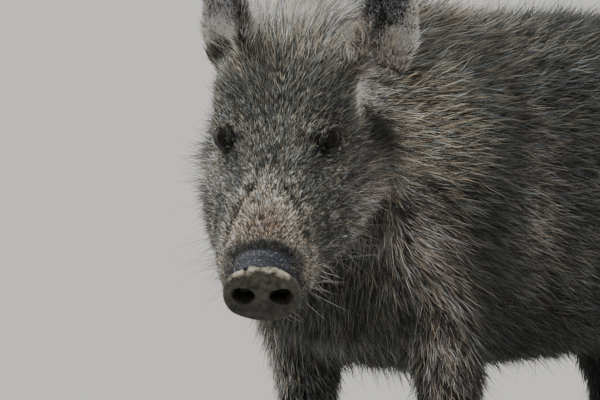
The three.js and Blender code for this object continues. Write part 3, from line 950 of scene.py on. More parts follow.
class Wiring:
    """Short names for adding and joining nodes."""

    def __init__(self, tree):
        self.tree = tree

    def add(self, kind, sockets=(), **settings):
        node = self.tree.nodes.new(kind)
        for key, value in settings.items():
            setattr(node, key, value)
        for key, value in dict(sockets).items():
            self.join(node.inputs[key], value)
        return node

    def join(self, socket, value):
        if isinstance(value, bpy.types.NodeSocket):
            self.tree.links.new(value, socket)
        else:
            socket.default_value = value

    def math(self, operation, *values):
        node = self.add("ShaderNodeMath", enumerate(values), operation=operation)
        return node.outputs[0]

    def times(self, a, b):
        return self.math("MULTIPLY", a, b)

    def plus(self, a, b):
        return self.math("ADD", a, b)

    def minus(self, a, b):
        return self.math("SUBTRACT", a, b)

    def vector(self, operation, *values):
        node = self.add("ShaderNodeVectorMath", enumerate(values), operation=operation)
        return node.outputs["Value" if operation == "DOT_PRODUCT" else "Vector"]

    def scaled(self, vector, amount):
        node = self.add("ShaderNodeVectorMath", {0: vector, "Scale": amount}, operation="SCALE")
        return node.outputs["Vector"]

    def sum(self, *vectors):
        total = vectors[0]
        for vector in vectors[1:]:
            total = self.vector("ADD", total, vector)
        return total

    def parts(self, vector):
        return self.add("ShaderNodeSeparateXYZ", {0: vector}).outputs

    def packed(self, *values):
        return self.add("ShaderNodeCombineXYZ", enumerate(values)).outputs[0]

    def read(self, name, kind="FLOAT"):
        node = self.add("GeometryNodeInputNamedAttribute", {"Name": name}, data_type=kind)
        return node.outputs["Attribute"]

    def write(self, geometry, name, value, kind="FLOAT_VECTOR", domain="POINT"):
        node = self.add("GeometryNodeStoreNamedAttribute", data_type=kind, domain=domain)
        for key, given in (("Geometry", geometry), ("Name", name), ("Value", value)):
            self.join(node.inputs[key], given)
        return node.outputs["Geometry"]

    def chance(self, low, high, seed, number):
        node = self.add("FunctionNodeRandomValue", data_type="FLOAT")
        for key, value in ((2, low), (3, high), ("ID", number), ("Seed", seed)):
            self.join(node.inputs[key], value)
        return node.outputs[1]

    def stored(self, name, output="Fac"):
        return self.add("ShaderNodeAttribute", attribute_name=name).outputs[output]

    def here(self):
        return self.add("ShaderNodeTexCoord").outputs["Object"]

    def noise(self, place, scale, detail):
        node = self.add("ShaderNodeTexNoise", {"Vector": place, "Scale": scale, "Detail": detail})
        return node.outputs[0]

    def cells(self, place, scale):
        node = self.add("ShaderNodeTexVoronoi", {"Vector": place, "Scale": scale})
        return node.outputs["Distance"]

    def span(self, value, start, end, low=0.0, high=1.0):
        """Start to end mapped onto low to high."""
        node = self.add("ShaderNodeMapRange", enumerate((value, start, end, low, high)))
        return node.outputs[0]

    def mix(self, share, first, second):
        """Blends two colours, each a socket or written as #rrggbb."""
        first, second = ((*shade(c), 1) if isinstance(c, str) else c for c in (first, second))
        node = self.add("ShaderNodeMix", {0: share, 6: first, 7: second}, data_type="RGBA")
        return node.outputs[2]

    def ramp(self, value, stops):
        """A colour ramp from (place, colour) stops."""
        node = self.add("ShaderNodeValToRGB", {0: value})
        elements = node.color_ramp.elements
        for i, (place, colour) in enumerate(stops):
            stop = elements[i] if i < 2 else elements.new(place)
            stop.position, stop.color = place, (*colour, 1)
        return node.outputs[0]

    def bumped(self, height, strength, distance):
        sockets = {"Strength": strength, "Distance": distance, "Height": height}
        return self.add("ShaderNodeBump", sockets).outputs[0]


def new_material(name, constants=()):
    """A material with constants set on its shader, the wiring of its tree, and the shader."""
    material = bpy.data.materials.new(name)
    material.use_nodes = True
    shader = material.node_tree.nodes["Principled BSDF"]
    for key, value in dict(constants).items():
        shader.inputs[key].default_value = value
    return material, Wiring(material.node_tree), shader


VECTOR = "FLOAT_VECTOR"
COAT_INPUTS = (
    ("Tufts per square metre", "NodeSocketFloat"),
    ("Blades in a tuft", "NodeSocketInt"),
    ("Tuft spread", "NodeSocketFloat"),
    ("Stray angle", "NodeSocketFloat"),
    ("Bend", "NodeSocketFloat"),
    ("Curl", "NodeSocketFloat"),
    ("Share of long hairs", "NodeSocketFloat"),
    ("Patch size", "NodeSocketFloat"),
    ("Seed", "NodeSocketInt"),
    ("Blade", "NodeSocketObject"),
    ("Finish", "NodeSocketMaterial"),
)


ROOT_DEPTH = 0.0006


def coat_tree():
    """The nodes that grow one region's tufts on the skin."""
    tree = bpy.data.node_groups.new("coat", "GeometryNodeTree")
    tree.interface.new_socket("Skin", in_out="INPUT", socket_type="NodeSocketGeometry")
    for name, kind in COAT_INPUTS:
        tree.interface.new_socket(name, in_out="INPUT", socket_type=kind)
    tree.interface.new_socket("Coat", in_out="OUTPUT", socket_type="NodeSocketGeometry")
    w = Wiring(tree)
    given = tree.nodes.new("NodeGroupInput").outputs
    seed = given["Seed"]

    # tufts: one point each on the skin
    density = w.times(w.read("growth"), given["Tufts per square metre"])
    scatter = w.add(
        "GeometryNodeDistributePointsOnFaces",
        {"Mesh": given["Skin"], "Density": density, "Seed": seed},
        distribute_method="RANDOM",
    )
    points = w.write(scatter.outputs["Points"], "up", scatter.outputs["Normal"])
    number = w.add("GeometryNodeInputIndex").outputs[0]
    tuft = w.packed(
        w.chance(0.0, 1.0, seed, number),
        w.chance(-0.6, 0.6, w.plus(seed, 11), number),
        w.chance(0.7, 1.15, w.plus(seed, 12), number),
    )
    points = w.write(points, "tuft", tuft)

    # blades: a few points for each tuft, each with its own way of lying
    copies = w.add(
        "GeometryNodeDuplicateElements",
        {"Geometry": points, "Amount": given["Blades in a tuft"]},
        domain="POINT",
    )
    points = copies.outputs["Geometry"]
    up, lie = w.read("up", VECTOR), w.read("lie", VECTOR)
    flat = w.vector("SUBTRACT", lie, w.scaled(up, w.vector("DOT_PRODUCT", lie, up)))
    flat = w.vector("NORMALIZE", flat)
    cross = w.vector("CROSS_PRODUCT", up, flat)
    tone, tuft_yaw, tuft_length = w.parts(w.read("tuft", VECTOR))
    stray = given["Stray angle"]

    def own(low, high, number_of_draw):
        return w.chance(low, high, w.plus(seed, number_of_draw), number)

    yaw = w.times(w.plus(tuft_yaw, own(-0.6, 0.6, 21)), stray)
    turn_cos, turn_sin = w.math("COSINE", yaw), w.math("SINE", yaw)
    ahead = w.sum(w.scaled(flat, turn_cos), w.scaled(cross, turn_sin))
    aside = w.vector("CROSS_PRODUCT", up, ahead)
    length, lift, width = w.parts(w.read("hair", VECTOR))
    long_one = w.math("LESS_THAN", own(0.0, 1.0, 32), given["Share of long hairs"])
    length = w.times(w.times(length, tuft_length), own(0.65, 1.15, 22))
    length = w.times(length, w.plus(1.0, w.times(long_one, 0.5)))
    width = w.times(width, w.minus(1.0, w.times(long_one, 0.35)))
    bend = w.times(given["Bend"], own(0.5, 1.5, 23))
    start = w.plus(w.plus(lift, w.times(bend, 0.5)), own(-0.18, 0.22, 24))
    start = w.plus(start, w.times(long_one, own(0.0, 0.35, 33)))
    spread = given["Tuft spread"]
    offset = w.sum(
        w.scaled(ahead, w.times(own(-1.0, 1.0, 25), spread)),
        w.scaled(aside, w.times(own(-1.0, 1.0, 26), spread)),
    )
    ribbon = w.packed(
        w.times(width, own(0.7, 1.3, 27)),
        own(-0.9, 0.9, 28),
        w.times(own(-1.0, 1.0, 29), given["Curl"]),
    )
    for name, value in (
        ("ahead", ahead),
        ("aside", aside),
        ("offset", offset),
        ("arc", w.packed(length, start, bend)),
        ("ribbon", ribbon),
        ("tone", w.packed(tone, own(0.0, 1.0, 30), own(0.0, 1.0, 31))),
    ):
        points = w.write(points, name, value)
    strip = w.add("GeometryNodeObjectInfo", {"Object": given["Blade"]}).outputs["Geometry"]
    strips = w.add("GeometryNodeInstanceOnPoints", {"Points": points, "Instance": strip})
    real = w.add("GeometryNodeRealizeInstances", {"Geometry": strips.outputs[0]}).outputs[0]

    # shape: each blade follows an arc that flattens towards its tip
    along, across = w.read("along"), w.read("across")
    up, ahead, aside = (w.read(name, VECTOR) for name in ("up", "ahead", "aside"))
    length, start, bend = w.parts(w.read("arc", VECTOR))
    width, roll, curl = w.parts(w.read("ribbon", VECTOR))
    now = w.minus(start, w.times(bend, along))
    radius = w.math("DIVIDE", length, bend)
    forward = w.times(radius, w.minus(w.math("SINE", start), w.math("SINE", now)))
    rise = w.times(radius, w.minus(w.math("COSINE", now), w.math("COSINE", start)))
    rise = w.minus(rise, ROOT_DEPTH)
    sway = w.times(w.times(curl, length), w.math("POWER", along, 2.0))
    thinning = w.minus(1.0, w.math("POWER", along, 2.2))
    reach = w.times(w.times(across, width), thinning)
    gathered = w.minus(1.0, w.times(along, 0.55))
    here = w.add("GeometryNodeInputPosition").outputs[0]
    root = w.vector("SUBTRACT", here, w.packed(across, along, 0.0))
    place = w.sum(
        root,
        w.scaled(w.read("offset", VECTOR), gathered),
        w.scaled(ahead, forward),
        w.scaled(up, w.plus(rise, w.times(reach, w.math("SINE", roll)))),
        w.scaled(aside, w.plus(sway, w.times(reach, w.math("COSINE", roll)))),
    )
    shaped = w.add("GeometryNodeSetPosition", {"Geometry": real, "Position": place}).outputs[0]
    patch = w.scaled(w.packed(across, w.minus(along, 0.5), 0.0), given["Patch size"])
    baked_at = w.vector("ADD", w.read("unrolled", VECTOR), patch)
    shaped = w.write(shaped, "OFBake", baked_at, "FLOAT2", "CORNER")
    finished = w.add("GeometryNodeSetMaterial", {"Geometry": shaped, "Material": given["Finish"]})
    tree.links.new(finished.outputs[0], tree.nodes.new("NodeGroupOutput").inputs[0])
    return tree


KEPT_ON_COAT = ("position", "along", "tone", "coat_colour", "OFBake")
FACE_TUFTS = {"Tuft spread": 0.0011, "Stray angle": 0.5, "Bend": 0.42, "Curl": 0.12}
BODY_TUFTS = {"Tuft spread": 0.0026, "Stray angle": 0.5, "Bend": 0.5, "Curl": 0.14}
ON_THE_FACE = ("coat_muzzle", "coat_face", "coat_nape", "coat_ears")
BLADES_IN_A_TUFT, BLADE_SEGMENTS, LONG_HAIRS = 4, 2, 0.1
PATCH = 0.003  # the side of a blade's patch in the bake
STRAY_MARGIN, STRAY_SHARE = 0.008, 0.35


def grow(tree, name, tufts, seed, strip, finish, shape):
    """Runs the coat tree over one region of the skin and returns a plain mesh object."""
    modifier = skin.modifiers.new("coat", "NODES")
    modifier.node_group = tree
    values = {
        "Tufts per square metre": tufts / growing_area(skin.data),
        "Blades in a tuft": BLADES_IN_A_TUFT,
        "Share of long hairs": LONG_HAIRS,
        "Patch size": PATCH,
        "Seed": seed,
        "Blade": strip,
        "Finish": finish,
        **shape,
    }
    for item in tree.interface.items_tree:
        if item.in_out == "INPUT" and item.name in values:
            modifier[item.identifier] = values[item.name]
    mesh = evaluated_mesh(skin)
    skin.modifiers.remove(modifier)
    for layer in [a.name for a in mesh.attributes if a.domain == "POINT" and not a.is_required]:
        if layer not in KEPT_ON_COAT and not layer.startswith("."):
            mesh.attributes.remove(mesh.attributes[layer])
    mesh.materials.clear()
    mesh.materials.append(finish)
    mesh.polygons.foreach_set("material_index", [0] * len(mesh.polygons))
    lay_strays_closer(mesh)
    mesh.name = name
    return placed(name, mesh)


def lay_strays_closer(mesh):
    """Brings the few hairs that stand out far to either side of the solids back toward them."""
    co = places_of(mesh)
    near = np.clip(co[:, 0], cad_box[0][0] - STRAY_MARGIN, cad_box[1][0] + STRAY_MARGIN)
    co[:, 0] = near + (co[:, 0] - near) * STRAY_SHARE
    put_places(mesh, co)


def growing_area(mesh):
    """The skin's area, each vertex counting by its share of growth."""
    growth = stored(mesh, "growth")[corner_vertices(mesh).reshape(-1, 3)]
    return float((all_of(mesh.polygons, "area") * growth.mean(axis=1)).sum())


def coat_finish():
    constants = {"Roughness": 0.62, "Specular IOR Level": 0.35}
    material, w, shader = new_material("grizzled_bristle", constants)
    colour = w.stored("coat_colour", "Vector")
    tone, own, hue = w.parts(w.stored("tone", "Vector"))
    along = w.stored("along")
    mixed_tone = w.plus(w.times(tone, 0.5), w.times(own, 0.5))
    stops = ((0.18, 0.07), (0.45, 0.28), (0.60, 1.15), (0.85, 2.9))
    light = w.ramp(mixed_tone, [(place, (value / 2,) * 3) for place, value in stops])
    stops = ((0.0, 0.05), (0.36, 0.16), (0.62, 0.75), (0.85, 1.0))
    bands = w.ramp(along, [(place, (value,) * 3) for place, value in stops])
    tones = w.times(light, 2.6)
    pale = w.span(w.parts(colour)[1], 0.42, 0.75, 0.0, 0.5)
    even = w.minus(1.0, pale)
    tones = w.plus(w.times(tones, even), w.times(pale, 1.2))
    place = w.here()
    clouds = w.noise(place, 13.0, 2.0)
    clouds = w.span(clouds, 0.32, 0.68, 0.6, 1.5)
    bright = w.times(w.times(tones, bands), clouds)
    warmth = w.minus(hue, 0.5)
    tint = w.packed(
        w.plus(1.0, w.times(warmth, 0.42)),
        1.0,
        w.minus(0.98, w.times(warmth, 0.42)),
    )
    result = w.scaled(w.vector("MULTIPLY", colour, tint), bright)
    w.join(shader.inputs["Base Color"], w.vector("MINIMUM", result, (0.9, 0.9, 0.9)))
    return material


def skin_finish():
    material, w, shader = new_material("skin", {"Specular IOR Level": 0.28})
    colour = w.stored("skin_colour", "Vector")
    bare = w.stored("bare")
    place = w.here()
    mottle = w.noise(place, 260.0, 5.0)
    pores = w.cells(place, 900.0)
    strength = w.plus(0.6, w.times(mottle, 0.8))
    # painted highlight: pale flecks brightened into the bare skin's colour, standing for a wet
    # sheen
    painted_wet_highlight = w.noise(place, 420.0, 4.0)
    painted_wet_highlight = w.span(painted_wet_highlight, 0.55, 0.68, 0.0, 8.0)
    strength = w.plus(strength, w.times(bare, painted_wet_highlight))
    w.join(shader.inputs["Base Color"], w.scaled(colour, strength))
    speckle = w.noise(place, 520.0, 3.0)
    wet = w.span(speckle, 0.42, 0.62, 0.25, 0.62)
    rough = w.minus(0.85, w.times(bare, wet))
    w.join(shader.inputs["Roughness"], rough)
    relief = w.plus(w.times(mottle, 0.5), w.times(pores, 0.5))
    w.join(shader.inputs["Normal"], w.bumped(relief, 0.5, 0.0012))
    return material


def make_coat():
    weights, growth, head, points = coat_fields(skin.data)
    tree, finish, strip = coat_tree(), coat_finish(), blade(BLADE_SEGMENTS)
    for seed, (name, tufts, slot, areas) in enumerate(coat_regions(weights, head, points)):
        share = unroll(skin.data, areas)
        store(skin.data, "growth", share * growth)
        shape = FACE_TUFTS if name in ON_THE_FACE else BODY_TUFTS
        piece = grow(tree, name, tufts, 100 * seed, strip, finish, shape)
        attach(piece, "root")
    bpy.data.objects.remove(strip)


make_coat()
skin.data.materials.clear()
skin.data.materials.append(skin_finish())
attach(skin, "root")
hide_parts(*FLESH)


# Snout disc ---------------------------------------------------------------------------------------


def disc_outline(turn):
    """The disc's half size in each direction: a squarish oval, taller above than below."""
    s, c = np.sin(turn), np.cos(turn)
    tall, power = np.where(c > 0, 26.0, 25.5), np.where(c > 0, 2.3, 2.1)
    return (np.abs(s / 35) ** power + np.abs(c / tall) ** power) ** (-1 / power)


DISC_PROFILE = (  # share of the outline, and how far back
    (0.0, 4.0), (0.5, 3.6), (0.78, 2.2), (0.90, 0.8), (0.955, 1.0), (0.99, 2.6),
    (1.0, 5.0), (0.985, 8.5), (0.93, 11.5), (0.82, 15.5), (0.6, 23.0),
)
NOSTRIL = {"x": 16.8, "z": -1.5, "wide": 10.8, "tall": 8.4, "deep": 15.0, "turn": 0.2}
NOTCH_X = -13.5  # a nick in the disc's upper edge
DISC_RINGS, REST_RINGS, DISC_AROUND = 58, 30, 168


def closed_rings(rings, around):
    """Faces over a first point, rings of points and a last point."""
    faces = [[0, 1 + (j + 1) % around, 1 + j] for j in range(around)]
    for first in range(1, 1 + (rings - 1) * around, around):
        for j in range(around):
            k = (j + 1) % around
            faces.append([first + j, first + k, first + around + k, first + around + j])
    last, end = 1 + (rings - 1) * around, 1 + rings * around
    return faces + [[last + j, last + (j + 1) % around, end] for j in range(around)]


def make_snout_disc():
    face_rings, around = DISC_RINGS, DISC_AROUND
    turn = np.linspace(0, 2 * math.pi, around, endpoint=False)
    shares, backs = (np.array(column) for column in zip(*DISC_PROFILE))
    steps = np.concatenate((np.linspace(0, 3, face_rings)[1:], np.linspace(3, 10, REST_RINGS)[1:]))
    share = np.interp(steps, np.arange(len(shares)), shares)
    back = np.interp(steps, np.arange(len(backs)), backs)
    share[: face_rings - 1] = np.linspace(0, 0.90, face_rings)[1:]
    back[: face_rings - 1] = np.interp(share[: face_rings - 1], shares[:5], backs[:5])
    radius = disc_outline(turn)
    wobble = 1 + 0.012 * np.sin(3 * turn + 1.0) + 0.008 * np.sin(5 * turn + 0.4)
    x = share[:, None] * (radius * wobble * np.sin(turn))[None]
    z = share[:, None] * (radius * wobble * np.cos(turn))[None]
    y = np.repeat(back[:, None], around, axis=1)
    x, y, z = (np.concatenate(([middle], v.ravel(), [end])) for v, middle, end in (
        (x, 0, 0), (y, 4.0, 23.0), (z, 0, 0)))
    face = ease(y, 8, 5)
    top = ease(z, 8, 20)
    y += face * 1.1 * hump(x, 0, 2.6) * ease(z, 2, 12)
    y -= face * 0.9 * hump(np.abs(x), 7.5, 4.5) * top
    y -= face * 0.8 * hump(x, 0, 3.2) * ease(z, 0, -10)
    z += top * (1.5 * hump(x, -9, 5) - 2.8 * hump(x, NOTCH_X, 2.0))
    z += top * (0.9 * hump(x, 12, 7) + 0.35 * np.sin(1.7 * x) * np.sin(0.63 * x + 1))
    dents = 0.5 * np.sin(0.31 * x + 0.8) * np.sin(0.27 * z + 0.4)
    y += face * (dents + 0.35 * np.sin(0.62 * z + 0.2 * x))
    inside = np.zeros_like(x)
    for side in SIDES:
        dx, dz = side * x - NOSTRIL["x"], z - NOSTRIL["z"]
        c, s = math.cos(NOSTRIL["turn"]), math.sin(NOSTRIL["turn"])
        a = (dx * c + dz * s) / NOSTRIL["wide"]
        b = (dz * c - dx * s) / NOSTRIL["tall"]
        b = b - 0.22 * a * a + 0.10
        q = np.sqrt(np.abs(a) ** 2.2 + np.abs(b) ** 2.2)
        hole = (1 - ease(q, 0.70, 1.0)) * face
        lip = hump(q, 1.22, 0.16) * face
        y += NOSTRIL["deep"] * hole - lip * np.where(b > 0, 1.3, 0.3)
        y += 1.8 * face * (1 - ease(q, 1.0, 1.9)) * ease(b, 0.3, -0.9)
        shrink = 1 - 0.35 * hole
        x = np.where(hole > 0, side * (NOSTRIL["x"] + dx * shrink), x)
        z = np.where(hole > 0, NOSTRIL["z"] + dz * shrink, z)
        # painted shade: the nostril holes go near black in the finish through this mask
        inside += hole
    # painted shade in the notch
    inside += 0.85 * hump(x, NOTCH_X, 1.6) * ease(z, 13, 20) * face
    head = np.stack((x, y, z), axis=1) * MM
    obj = mesh_object("snout_disc_skin", from_head(head), closed_rings(len(steps), around))
    with editing(obj.data) as work:
        bmesh.ops.recalc_face_normals(work, faces=work.faces)
        bmesh.ops.triangulate(work, faces=work.faces)
    shade_smooth(obj.data)
    edge = np.hypot(x / 35, z / 26)
    crust = ease(edge, 0.76, 1.0) * ease(z, 9, 20) * (1 - inside)
    store(obj.data, "crust", crust * ease(y, 12, 6))
    # The disc is also painted darker towards the bottom and round the nostril pits.
    away = [np.hypot((side * x - NOSTRIL["x"] - 1) / 17, (z + 6) / 14) for side in SIDES]
    pits = [ease(far, 1.0, 0.55) for far in away]
    darker_low_and_round_pits = np.clip(np.maximum(0.75 * ease(z, 2, -16), 0.85 * sum(pits)), 0, 1)
    store(obj.data, "inside", np.clip(np.maximum(inside, 0.6 * darker_low_and_round_pits), 0, 1))
    obj.data.materials.append(snout_finish())
    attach(obj, "root")
    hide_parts("snout_disc")


def snout_finish():
    material, w, shader = new_material("damp_snout_leather", {"Specular IOR Level": 0.45})
    place = w.here()
    crust = w.stored("crust")
    inside = w.stored("inside")
    mottle = w.noise(place, 170.0, 6.0)
    grain = w.noise(place, 900.0, 4.0)
    cells = w.cells(place, 620.0)
    broad = w.noise(place, 75.0, 3.0)
    patchy = w.plus(w.times(mottle, 2.6), w.times(broad, 2.8))
    dirt = w.plus(crust, w.minus(patchy, 2.95))
    dirt = w.span(dirt, 0.2, 1.15)
    dirt = w.times(dirt, w.math("GREATER_THAN", crust, 0.02))
    patches = w.span(mottle, 0.36, 0.64)
    leather = w.mix(patches, "#141310", "#4a4739")
    both = w.mix(dirt, leather, w.mix(grain, "#675f52", "#cbc1ad"))
    # painted shade inside the nostrils and the notch; darker towards the bottom of the disc and
    # round the pits
    dark = w.minus(1.0, w.times(inside, 0.95))
    w.join(shader.inputs["Base Color"], w.scaled(both, dark))
    rough = w.plus(0.42, w.times(dirt, 0.45))
    w.join(shader.inputs["Roughness"], rough)
    relief = w.plus(w.times(cells, 0.6), w.times(grain, 0.5))
    relief = w.plus(relief, w.times(dirt, 0.8))
    w.join(shader.inputs["Normal"], w.bumped(relief, 0.7, 0.0008))
    return material


make_snout_disc()

# Eyes ---------------------------------------------------------------------------------------------


EYE_RINGS, EYE_AROUND = 40, 56
CORNEA_BULGE = 0.0009


def make_eye(side, word):
    rings, around = EYE_RINGS, EYE_AROUND
    middle, gaze, along_lids, over_lids = eye_directions(side)
    away = np.linspace(0, math.pi, rings + 1)
    turn = np.linspace(0, 2 * math.pi, around, endpoint=False)
    radius = EYE_RADIUS + CORNEA_BULGE * hump(away, 0, 0.42)
    ring = away[1:-1, None]
    out = np.cos(ring)[..., None] * gaze + np.sin(ring)[..., None] * (
        np.cos(turn)[:, None] * along_lids + np.sin(turn)[:, None] * over_lids
    )
    places = middle + out * radius[1:-1, None, None]
    vertices = np.concatenate(
        ([middle + gaze * radius[0]], places.reshape(-1, 3), [middle - gaze * radius[-1]])
    )
    faces = [[face[0], *face[:0:-1]] for face in closed_rings(rings - 1, around)]
    obj = mesh_object("eyeball_" + word, from_head(vertices), faces)
    with editing(obj.data) as work:
        bmesh.ops.recalc_face_normals(work, faces=work.faces)
    shade_smooth(obj.data)
    rays = unit(vertices - middle)
    store(obj.data, "from_pupil", np.arccos(np.clip(rays @ gaze, -1, 1)))
    spokes = np.stack((rays @ along_lids, rays @ over_lids, np.zeros(len(rays))), 1)
    store(obj.data, "spokes", unit(spokes))
    return obj


def eye_finish():
    material, w, shader = new_material("wet_eye", {"Roughness": 0.05, "Specular IOR Level": 0.16})
    angle = w.stored("from_pupil")
    spokes = w.stored("spokes", "Vector")
    fibres = w.noise(spokes, 9.0, 3.0)
    stops = (
        (0.0, "#020202"), (0.19, "#030303"), (0.215, "#0d0805"), (0.34, "#1a100a"),
        (0.43, "#0a0605"), (0.47, "#0a0706"), (0.60, "#110d0c"), (1.0, "#1a1513"),
    )
    rings = w.ramp(w.times(angle, 0.8), [(place, shade(code)) for place, code in stops])
    w.join(shader.inputs["Base Color"], w.scaled(rings, w.plus(0.5, fibres)))
    return material


finish_of_eyes = eye_finish()
for side, word in zip(SIDES, ("left", "right")):
    eyeball = make_eye(side, word)
    eyeball.data.materials.append(finish_of_eyes)
    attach(eyeball, "root")
    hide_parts("eye_" + word)

# Hooves and dewclaws ------------------------------------------------------------------------------


def horn_finish():
    material, w, shader = new_material("dark_horn")
    place = w.here()
    z = w.parts(place)[2]
    waver = w.noise(place, 60.0, 4.0)
    height = w.plus(z, w.times(waver, 0.006))
    growth = w.math("SINE", w.times(height, 2600.0))
    grain = w.noise(place, 500.0, 5.0)
    worn = w.span(z, 0.012, 0.0)
    worn = w.times(worn, w.plus(0.4, grain))
    both = w.mix(worn, w.mix(grain, "#201c19", "#4b433b"), "#7d7263")
    bands = w.plus(0.9, w.times(growth, 0.12))
    w.join(shader.inputs["Base Color"], w.scaled(both, bands))
    w.join(shader.inputs["Roughness"], w.plus(0.42, w.times(worn, 0.35)))
    relief = w.plus(w.times(growth, 0.25), grain)
    w.join(shader.inputs["Normal"], w.bumped(relief, 0.5, 0.0006))
    return material


HORN_PITCH, SOLE_BELOW, RIDGE_HEIGHT = 0.0013, 0.0009, 0.00022


def smooth_horn(node, finish):
    """A hoof or dewclaw as fine, rounded horn with growth ridges; a hoof's sole stays flat."""
    work = merged_copy(node)
    mesh = bpy.data.meshes.new(node)
    work.to_mesh(mesh)
    work.free()
    source = placed(node + "_source", mesh)
    mesh = remeshed(source, HORN_PITCH)
    edges = edges_of(mesh)
    co = places_of(mesh)
    on_sole = co[:, 2] < SOLE_BELOW
    co = relaxed(co, edges, 5)
    co[on_sole, 2] = 0
    put_places(mesh, co)
    ridges = RIDGE_HEIGHT * np.sin(co[:, 2] / MM * 1.9) * ease(co[:, 2], 0.003, 0.008)
    put_places(mesh, co + normals_of(mesh) * ridges[:, None])
    shade_smooth(mesh)
    obj = placed("horn_" + node, mesh)
    obj.data.materials.clear()
    obj.data.materials.append(finish)
    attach(obj, "root")
    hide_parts(node)


finish_of_horn = horn_finish()
for leg in LEGS:
    for toe in ("hoof_inner", "hoof_outer", "dewclaw_inner", "dewclaw_outer"):
        smooth_horn(f"{leg}_{toe}", finish_of_horn)

# Whiskers and lashes ------------------------------------------------------------------------------
# Long single bristles round the mouth, on the cheeks and over the eyes, and the upper lashes.


def bristle(root, aim, sag, length, thick, parts=7):
    """A tapered four-sided hair that leaves its root along aim and bends towards sag."""
    aim = unit(np.asarray(aim, float))
    across = unit(np.cross(aim, (0.3, 0.2, 1.0)))
    other = np.cross(aim, across)
    rings, shares = [], np.linspace(0, 1, parts)
    for t in shares[:-1]:
        middle = root + length * t * aim + length * t * t * np.asarray(sag)
        size = thick * (1 - 0.85 * t)
        for c, s in ((1, 0), (0, 1), (-1, 0), (0, -1)):
            rings.append(middle + size * (across * c + other * s))
    rings.append(root + length * aim + length * np.asarray(sag))
    faces, along = [], np.append(np.repeat(shares[:-1], 4), 1.0)
    for ring in range(parts - 2):
        for k in range(4):
            first, second = 4 * ring + k, 4 * ring + (k + 1) % 4
            faces.append([first, second, second + 4, first + 4])
    last, tip = 4 * (parts - 2), 4 * (parts - 1)
    faces += [[last + k, last + (k + 1) % 4, tip] for k in range(4)]
    return rings, faces, along


WHISKER_SEED, LASH_SEED = 61, 62
WHISKER_THICKNESS, LASH_THICKNESS = 0.00019, 0.00020
HEAD_LENGTH_IN_BAKE = 0.33
# where, along the head, degrees round it, how many each side, length, aim, sag, how pale
WHISKERS = (
    ("upper lip", (30, 84), (76, 120), 26, (20, 44), (0.55, 0.45, -0.62), (0.12, 0.1, -0.12), 1.0),
    ("muzzle", (34, 120), (60, 110), 22, (16, 30), (0.9, 0.5, -0.1), (0.0, 0.15, -0.25), 0.4),
    ("chin", (20, 90), (138, 178), 22, (18, 36), (0.35, 0.25, -0.9), (0.0, 0.25, 0.0), 0.6),
    ("cheek", (95, 210), (88, 140), 26, (34, 60), (0.95, 0.35, -0.35), (0.0, 0.15, -0.18), 0.5),
    ("jaw", (100, 220), (140, 172), 16, (28, 50), (0.45, 0.4, -0.85), (0.0, 0.2, 0.0), 0.6),
    ("brow", (180, 200), (26, 38), 5, (24, 36), (0.45, -0.25, 0.85), (0.1, 0.1, -0.15), 0.1),
)


RAY_REACH = 0.16


def whisker_roots(tree):
    """Yields each whisker's root on the skin, in the head's frame, and how it grows from there."""
    rng = np.random.default_rng(WHISKER_SEED)
    for _, span, turn, count, lengths, aim, sag, pale in WHISKERS:
        for side in SIDES:
            for _ in range(count):
                y, angle = rng.uniform(*span) * MM, math.radians(rng.uniform(*turn))
                ray = np.array((side * math.sin(angle), 0, math.cos(angle)))
                start = Vector(from_head(np.array((0, y, HEAD_AXIS)) + RAY_REACH * ray))
                hit = tree.ray_cast(start, Vector(-(ray @ HEAD_TURN.T)), RAY_REACH)[0]
                if hit is None:
                    continue
                root, both = to_head(np.array(hit)), np.array((side, 1, 1))
                aimed = aim * both + rng.normal(0, 0.3, 3)
                length = rng.uniform(*lengths) * MM
                paleness = pale * rng.uniform(0.3, 1)
                yield root, aimed, sag * both, length, WHISKER_THICKNESS, paleness


def lash_roots():
    """The same for the upper lashes."""
    rng = np.random.default_rng(LASH_SEED)
    half_long, upper, _ = LID_OPENING
    for side in SIDES:
        middle, gaze, along_lids, over_lids = eye_directions(side)
        for share in np.linspace(-0.75, 0.85, 26):
            a = share * half_long
            b = upper * (1 - abs(share) ** LID_POWER) ** (1 / LID_POWER) + 0.06
            ray = math.cos(b) * (math.cos(a) * gaze + math.sin(a) * along_lids)
            ray = ray + math.sin(b) * over_lids
            aim = ray + 0.7 * share * along_lids - 0.25 * over_lids + rng.normal(0, 0.08, 3)
            length = rng.uniform(7, 11) * MM * (1 - 0.4 * abs(share))
            root = middle + ray * (EYE_RADIUS + 0.0012)
            yield root, aim, 0.35 * over_lids, length, LASH_THICKNESS, 0.0


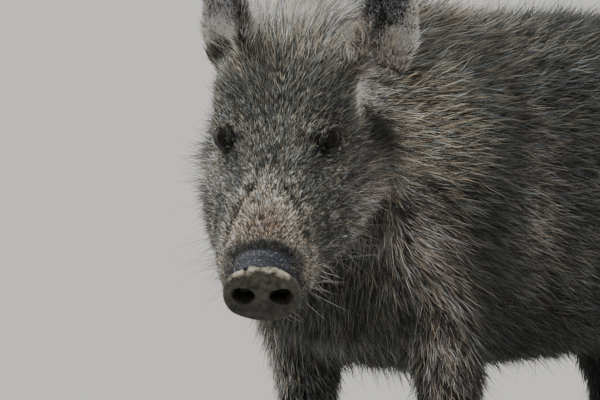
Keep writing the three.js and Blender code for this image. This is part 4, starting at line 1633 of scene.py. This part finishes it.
def make_whiskers():
    skin_tree = BVHTree.FromObject(skin, bpy.context.evaluated_depsgraph_get())
    vertices, faces, alongs, pales, patches = [], [], [], [], []
    for root, aim, sag, length, thick, pale in (*whisker_roots(skin_tree), *lash_roots()):
        places, quads, along = bristle(root, aim, sag, length, thick)
        first = len(vertices)
        vertices += places
        faces += [[first + i for i in quad] for quad in quads]
        alongs.append(along)
        pales.append(np.full(len(along), pale))
        turn = (math.atan2(root[0], root[2] - HEAD_AXIS) / (2 * math.pi)) % 1.0
        at = np.array((turn, root[1] / HEAD_LENGTH_IN_BAKE))
        patch = PATCH * np.stack((np.arange(len(along)) % 4 / 3 - 0.5, along - 0.5), 1)
        patches.append(UV_MARGIN + (1 - 2 * UV_MARGIN) * at + patch)
    obj = mesh_object("whiskers", from_head(np.array(vertices)), faces)
    mesh = obj.data
    store(mesh, "along", np.concatenate(alongs))
    store(mesh, "pale", np.concatenate(pales))
    layer = mesh.uv_layers.new(name="OFBake")
    places = np.concatenate(patches)[corner_vertices(mesh)]
    layer.data.foreach_set("uv", places.astype(np.float32).ravel())
    with editing(mesh) as work:
        bmesh.ops.recalc_face_normals(work, faces=work.faces)
    mesh.materials.append(whisker_finish())
    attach(obj, "root")


def whisker_finish():
    material, w, shader = new_material("black_to_silver_whisker", {"Roughness": 0.4})
    along = w.stored("along")
    pale = w.stored("pale")
    silvered = w.times(pale, w.span(along, 0.12, 0.45))
    w.join(shader.inputs["Base Color"], w.mix(silvered, "#1b1714", "#e4dfd5"))
    return material


make_whiskers()


# Floor, light and finish --------------------------------------------------------------------------


FLOOR_REACH = 60
FLOOR_COLOUR, SKY_COLOUR, SKY_STRENGTH = (0.46, 0.45, 0.435, 1), (0.80, 0.79, 0.77, 1), 0.9
LIGHT_ENERGY, LIGHT_ANGLE, LIGHT_FROM = 3.2, math.radians(28), (-0.35, -0.50, 1.0)


def studio():
    """A plain pale floor, an even pale sky and one high soft light."""
    r = FLOOR_REACH
    corners = [(-r, -r, 0), (r, -r, 0), (r, r, 0), (-r, r, 0)]
    floor = mesh_object("floor", corners, [(0, 1, 2, 3)])
    constants = {"Base Color": FLOOR_COLOUR, "Roughness": 1.0}
    floor.data.materials.append(new_material("pale_floor", constants)[0])
    world = bpy.data.worlds.new("studio")
    world.use_nodes = True
    sky = world.node_tree.nodes["Background"].inputs
    sky["Color"].default_value, sky["Strength"].default_value = SKY_COLOUR, SKY_STRENGTH
    bpy.context.scene.world = world
    data = bpy.data.lights.new("high_soft_light", "SUN")
    data.energy, data.angle = LIGHT_ENERGY, LIGHT_ANGLE
    lamp = placed("high_soft_light", data)
    lamp.rotation_euler = Vector(LIGHT_FROM).to_track_quat("Z", "Y").to_euler()


studio()

bpy.context.view_layer.update()
